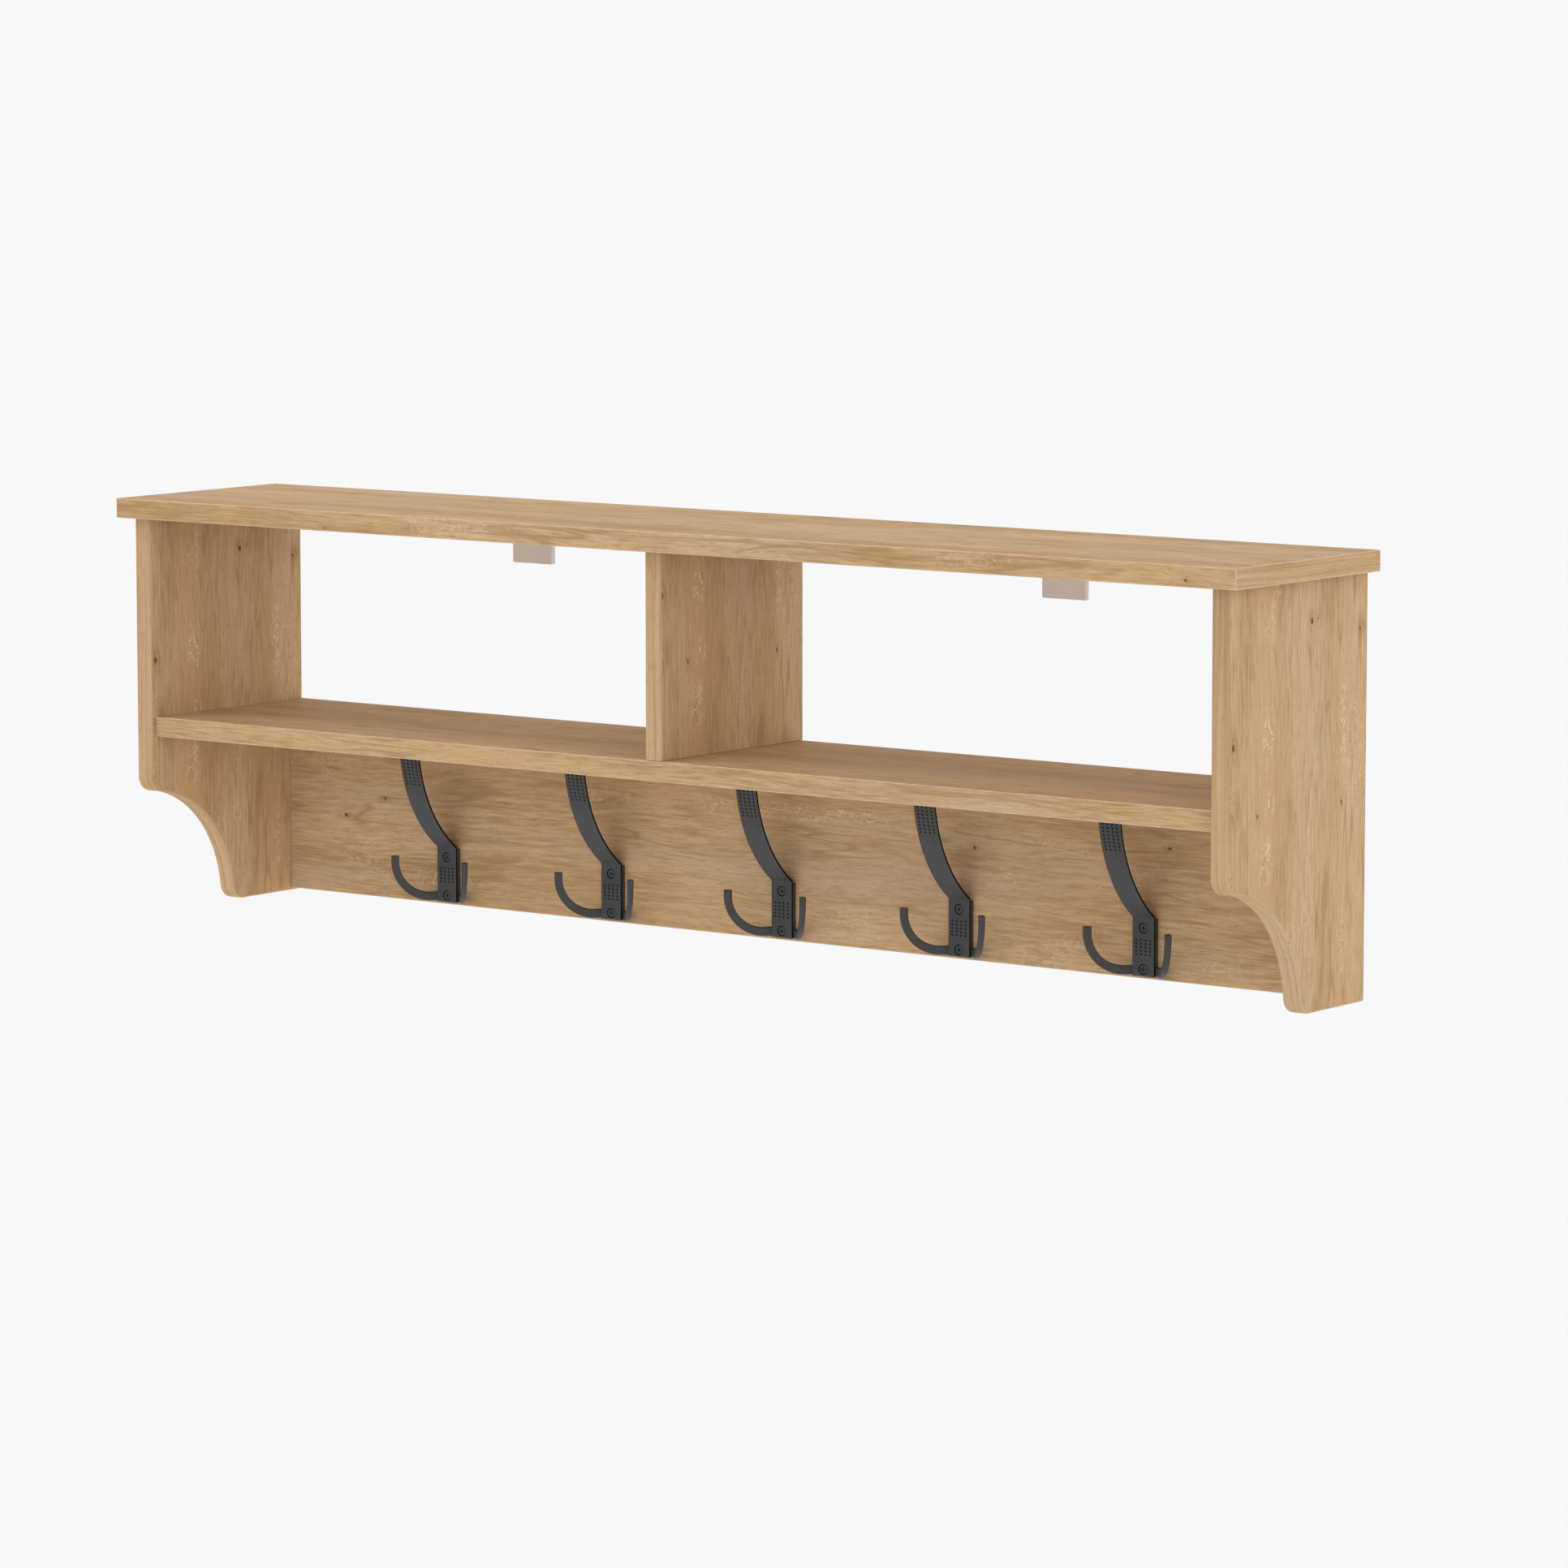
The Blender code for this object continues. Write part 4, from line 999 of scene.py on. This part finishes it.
def dot_places():
    """Places of the pressed dots on the flat strap."""
    plate, knee, arm = strap_lengths()
    rises = [PLATE_DOT_START + PLATE_DOT_PITCH * row for row in range(PLATE_DOT_ROWS)]
    tip = plate + knee + arm
    rises += [tip - ARM_DOT_START - ARM_DOT_PITCH * row for row in range(ARM_DOT_ROWS)]
    places = []
    for rise in rises:
        for column in range(DOT_COLUMNS):
            x = (column - (DOT_COLUMNS - 1) / 2) * DOT_SPREAD
            places.append(Vector((x, -STRAP_THICKNESS / 2, rise)))
    return places


def make_straps(material, painted_shade_coat):
    """Flat straps with pressed dots and countersunk holes, bent into a plate and an arm. Their
    sides, dots and holes take a near-black coat: painted shade.
    """
    width = size("hook_strap_1").x
    plate, knee, arm = strap_lengths()
    stations = [0]
    for length, steps in ((plate, 1), (knee, KNEE_STEPS), (arm, ARM_STEPS)):
        start = stations[-1]
        stations += [start + length * step / steps for step in range(1, steps + 1)]
    half = STRAP_THICKNESS / 2
    bm = bmesh.new()
    rings = []
    for rise in stations:
        corners = [(-width / 2, -half), (width / 2, -half), (width / 2, half), (-width / 2, half)]
        rings.append([bm.verts.new((x, y, rise)) for x, y in corners])
    join_rings(bm, rings)
    strap = link_object("strap_blank", bm)
    round_edges(strap, STRAP_EDGE, 2)

    dots = bmesh.new()
    profile = [
        (-DOT_DEPTH, DOT_RADIUS),
        (DOT_WALL * DOT_DEPTH, DOT_RADIUS),
        (DOT_DEPTH, DOT_FLOOR * DOT_RADIUS),
    ]
    for place in dot_places():
        add_turned(dots, place, Y, profile, DOT_SIDES)
    holes = bmesh.new()
    wide = SCREW_HEAD + COUNTERSINK_GAP
    narrow = SCREW_SHANK + COUNTERSINK_GAP
    rim = SCREW_SUNK + SCREW_RIM
    beyond = STRAP_THICKNESS + OVERCUT
    profile = [(-OVERCUT, wide), (rim, wide), (rim + wide - narrow, narrow), (beyond, narrow)]
    for rise in SCREW_RISES.values():
        add_turned(holes, Vector((0, -half, rise)), Y, profile)
    helpers = [link_object("dots", dots), link_object("holes", holes)]
    combine(strap, helpers)
    # the strap's sides, dots and holes take the near-black coat: painted shade
    core = half - SKIN
    mesh = finish_mesh(strap, helpers, bend_strap, inner=lambda centre: abs(centre.y) < core)
    for node, place in hook_places("strap").items():
        show(node, mesh, "black_powder_coat", [material, painted_shade_coat], place - Y * half)


def prong_path():
    """Middle line of the right-hand prong from the hook's middle: (point, ahead, across)."""
    splay = radians(PRONG_SPLAY)
    path = [(Vector((0, 0, PRONG_LEVEL)), X, Y)]
    for step in range(PRONG_BEND_STEPS + 1):
        turn = splay * step / PRONG_BEND_STEPS
        x = PRONG_BEND_X + PRONG_BEND_RADIUS * sin(turn)
        y = -PRONG_BEND_RADIUS * (1 - cos(turn))
        ahead = Vector((cos(turn), -sin(turn), 0))
        path.append((Vector((x, y, PRONG_LEVEL)), ahead, Z.cross(ahead)))
    corner, level_ahead, across = path[-1]
    for step in range(PRONG_CURL_STEPS + 1):
        turn = pi / 2 * step / PRONG_CURL_STEPS
        run = PRONG_RUN + PRONG_CURL_RADIUS * sin(turn)
        rise = PRONG_CURL_RADIUS * (1 - cos(turn))
        ahead = level_ahead * cos(turn) + Z * sin(turn)
        path.append((corner + level_ahead * run + Z * rise, ahead, across))
    end, ahead, across = path[-1]
    rise = PRONG_TIP - end.z
    path.append((end + Z * (rise - PRONG_TIP_ROUND), ahead, across))
    path.append((end + Z * rise, ahead, across))
    return path


def bar_section(height, thickness, corner):
    """A rectangle with rounded corners, as (up, across) pairs."""
    points = []
    for quarter, (side_up, side_out) in enumerate(((1, 1), (-1, 1), (-1, -1), (1, -1))):
        centre = (side_up * (height / 2 - corner), side_out * (thickness / 2 - corner))
        start = 90 * quarter
        points += arc_points(centre, corner, start, start + 90, PRONG_CORNER_STEPS)
    return points


def add_prong_bar(bm):
    """One bar from the left tip, behind the strap, to the right tip."""
    right = prong_path()
    left = []
    for point, ahead, across in right[:0:-1]:
        point = Vector((-point.x, point.y, point.z))
        ahead = Vector((ahead.x, -ahead.y, -ahead.z))
        left.append((point, ahead, Vector((-across.x, across.y, 0))))
    line = left + right
    lengths = [0.0]
    for (first, _, _), (second, _, _) in zip(right, right[1:]):
        lengths.append(lengths[-1] + (second - first).length)
    shares = [length / lengths[-1] for length in lengths]
    shares = shares[:0:-1] + shares
    rings = []
    for step, ((point, ahead, across), share) in enumerate(zip(line, shares)):
        growth = max(0.0, share - PRONG_SLIM_SHARE) / (1 - PRONG_SLIM_SHARE)
        height = PRONG_BASE[0] + (PRONG_END[0] - PRONG_BASE[0]) * share
        thickness = PRONG_BASE[1] + (PRONG_END[1] - PRONG_BASE[1]) * growth
        inset = 2 * PRONG_TIP_ROUND if step in (0, len(line) - 1) else 0
        up = ahead.cross(across)
        ring = []
        for rise, out in bar_section(height - inset, thickness - inset, PRONG_CORNER - inset / 2):
            ring.append(bm.verts.new(point + up * rise + across * out))
        rings.append(ring)
    join_rings(bm, rings)


def make_prongs(material):
    """Backing plates behind the straps, each with a prong to the left and to the right."""
    _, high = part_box("hook_prongs_1")
    strap_low, strap_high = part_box("hook_strap_1")
    depth = high.y - strap_high.y
    half = size("hook_strap_1").x / 2
    back = BACKING_THICKNESS / 2
    corners = Vector((-half, -back, 0)), Vector((half, back, high.z - strap_low.z))
    plate = solid("hook_prongs", add_box, *corners)
    round_edges(plate, BACKING_EDGE, 2)
    bar = solid("prong_bar", add_prong_bar)
    combine(plate, [bar], "UNION")
    axes = [(Vector((0, -back, rise)), Y, BACKING_THICKNESS) for rise in SCREW_RISES.values()]
    holes = make_bores("prong_holes", SCREW_SHANK + 2 * GAP, axes, OVERCUT, OVERCUT)
    combine(plate, [holes])
    mesh = finish_mesh(plate, [bar, holes])
    for node, place in hook_places("prongs").items():
        show(node, mesh, "black_powder_coat", [material], place + Y * (depth - back))


def make_hook_screws(material):
    """Countersunk screws with a cross recess and a ridged thread."""
    neck = SCREW_RIM + SCREW_HEAD - SCREW_SHANK
    root = SCREW_SHANK - SCREW_THREAD
    end = SCREW_LENGTH - SCREW_POINT
    profile = [
        (0, SCREW_HEAD - SCREW_RIM_ROUND[1]),
        (SCREW_RIM_ROUND[0], SCREW_HEAD),
        (SCREW_RIM, SCREW_HEAD),
        (neck, SCREW_SHANK),
    ]
    profile += thread(neck + GAP, end, root, SCREW_SHANK)
    profile += [(end, root), (SCREW_LENGTH, SCREW_TIP)]
    mesh = screw_mesh("hook_screw", profile, SCREW_CROSS)
    for word in SCREW_RISES:
        for node in hook_places("screw"):
            node += "_" + word
            show(node, mesh, "black_powder_coat", [material], *along_node(node, Y)[:2])


# -------- angle brackets


def angle_outline(back, top, reach, drop, depth):
    """An L in the (y, z) plane: one leg down the wall, one leg forward under the top."""
    return [(back, top), (back, drop), (depth[0], drop), depth, (reach, depth[1]), (reach, top)]


def make_cover(side, material):
    """A moulded plastic shell over an angle, open towards the wall and the top board."""
    node = "angle_cover_" + side
    low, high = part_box(node)
    front = high.y + GAP - COVER_DEPTH
    under = high.z + GAP - COVER_DEPTH
    outer = angle_outline(high.y, high.z, low.y, low.z, (front, under))
    cover = solid(node + "_blank", add_prism, outer, low.x, high.x)
    round_edges(cover, COVER_ROUNDING, 5)
    angle_low, angle_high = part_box("wall_angle_" + side)
    back = (high.y + COVER_DEPTH, high.z + COVER_DEPTH)
    reach = (low.y + COVER_WALL, low.z + COVER_WALL)
    inner = angle_outline(*back, *reach, (front + COVER_WALL, under + COVER_WALL))
    width = (angle_low.x - GAP, angle_high.x + GAP)
    helper = solid(node + "_hollow", add_prism, inner, *width)
    combine(cover, [helper])
    mesh = finish_mesh(cover, [helper], sharp=30)
    show(node, mesh, "taupe_plastic", [material])


def make_angle(side, material):
    """A folded steel angle: one leg on the wall with a screw hole, one leg under the top."""
    node = "wall_angle_" + side
    low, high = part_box(node)
    outline = [(high.y, low.z), (high.y, high.z - ANGLE_BEND)]
    centre = (high.y - ANGLE_BEND, high.z - ANGLE_BEND)
    outline += arc_points(centre, ANGLE_BEND, 0, 90, ANGLE_BEND_STEPS)[1:]
    inner = (high.y - ANGLE_THICKNESS, high.z - ANGLE_THICKNESS)
    outline += [(low.y, high.z), (low.y, inner[1]), inner, (inner[0], low.z)]
    angle = solid(node + "_blank", add_prism, outline, low.x, high.x)
    round_edges(angle, ANGLE_EDGE, 2)
    place = Vector((middle(node).x, inner[0], high.z - ANGLE_WALL_HOLE_DROP))
    wall_hole = (place, Y, ANGLE_THICKNESS)
    screws = [along_node(screw, Z) for screw in nodes_of("angle_screw_" + side)]
    holes = [
        make_bores("wall_hole", ANGLE_WALL_HOLE, [wall_hole], OVERCUT, OVERCUT),
        make_bores("screw_holes", ANGLE_SCREW_SHANK + GAP, screws),
    ]
    combine(angle, holes)
    show(node, finish_mesh(angle, holes), "zinc_plated_steel", [material])


def make_angle_screws(material):
    """Pan-head screws with a cross recess and a ridged thread."""
    head = ANGLE_SCREW_RISE
    length = size("angle_screw_left_1").z
    profile = [(0, ANGLE_SCREW_CROWN * ANGLE_SCREW_HEAD)]
    for step in range(1, ANGLE_SCREW_STEPS + 1):
        turn = pi / 2 * step / ANGLE_SCREW_STEPS
        share = ANGLE_SCREW_CROWN + (1 - ANGLE_SCREW_CROWN) * sin(turn)
        rise = ANGLE_SCREW_BULGE * head * (1 - cos(turn))
        profile.append((rise, share * ANGLE_SCREW_HEAD))
    profile += [(head, ANGLE_SCREW_HEAD), (head, ANGLE_SCREW_SHANK)]
    root = ANGLE_SCREW_SHANK - ANGLE_SCREW_THREAD
    end = length - ANGLE_SCREW_POINT
    profile += thread(head + ANGLE_SCREW_COLLAR, end, root, ANGLE_SCREW_SHANK)
    profile += [(end, root), (length, SCREW_TIP)]
    mesh = screw_mesh("angle_screw", profile, ANGLE_SCREW_CROSS)
    for side in ("left", "right"):
        for node in nodes_of("angle_screw_" + side):
            show(node, mesh, "zinc_plated_steel", [material], along_node(node, Z)[0])


# -------- camera, lights, surroundings


def plain_material(name, grey, glow=0.0):
    """A plain matt surface, which may glow white."""
    finish = Finish(name)
    finish.set(Base_Color=(grey, grey, grey, 1), Roughness=0.9, Specular_IOR_Level=0.0)
    finish.set(Emission_Color=(1, 1, 1, 1), Emission_Strength=glow)
    return finish.material


def make_surroundings():
    """A pale floor far below, and a white dome that only the camera sees."""
    bm = bmesh.new()
    turn = Matrix.Translation((0, 0, FLOOR_LEVEL))
    bmesh.ops.create_circle(bm, cap_ends=True, segments=96, radius=FLOOR_RADIUS, matrix=turn)
    floor = link_object("floor", bm)
    floor.data.materials.append(plain_material("pale_floor", FLOOR_ALBEDO))
    bm = bmesh.new()
    bmesh.ops.create_uvsphere(bm, u_segments=48, v_segments=24, radius=DOME_RADIUS)
    dome = link_object("backdrop", bm)
    dome.data.materials.append(plain_material("white_backdrop", 0.0, BACKDROP_WHITE))
    for ray in ("diffuse", "glossy", "transmission", "shadow"):
        setattr(dome, "visible_" + ray, False)


def make_lights():
    """A soft sky and soft suns, so that the light is even over the whole floor."""
    world = bpy.data.worlds.new("studio")
    world.use_nodes = True
    background = world.node_tree.nodes["Background"]
    background.inputs["Color"].default_value = (*SKY_COLOUR, 1)
    background.inputs["Strength"].default_value = SKY_STRENGTH
    bpy.context.scene.world = world
    for name, azimuth, elevation, spread, strength in SUNS:
        light = bpy.data.lights.new(name, "SUN")
        light.energy = strength
        light.angle = radians(spread)
        lamp = new_object(name, light)
        around = radians(azimuth)
        up = radians(elevation)
        level = cos(up)
        source = Vector((sin(around) * level, -cos(around) * level, sin(up)))
        lamp.rotation_euler = source.to_track_quat("Z", "Y").to_euler()


def make_camera():
    """The camera at the photograph's viewing angle."""
    data = bpy.data.cameras.new("camera")
    data.lens = CAMERA_LENS
    data.clip_start = 0.1
    data.clip_end = 1000.0
    camera = new_object("camera", data)
    camera.location = CAMERA_PLACE
    tilt = radians(90 - CAMERA_ELEVATION)
    camera.rotation_euler = (tilt, 0, radians(CAMERA_AZIMUTH))
    bpy.context.scene.camera = camera


make_camera()
make_surroundings()
make_lights()
bpy.context.scene.view_settings.view_transform = "Standard"

coat = powder_coat("powder_coat", COAT_COLOURS, shine=0.45)
# a near-black coat of painted shade for the strap's sides, dots and holes
painted_shade_coat = powder_coat("powder_coat_in_recesses", PAINTED_SHADE_COLOURS, shine=0.1)
zinc = zinc_plate()
make_boards()
make_dowels(beech())
make_cams(zinc)
make_cam_bolts(zinc)
make_straps(coat, painted_shade_coat)
make_prongs(coat)
make_hook_screws(coat)
plastic = moulded_plastic()
for wall_side in ("left", "right"):
    make_cover(wall_side, plastic)
    make_angle(wall_side, zinc)
make_angle_screws(zinc)
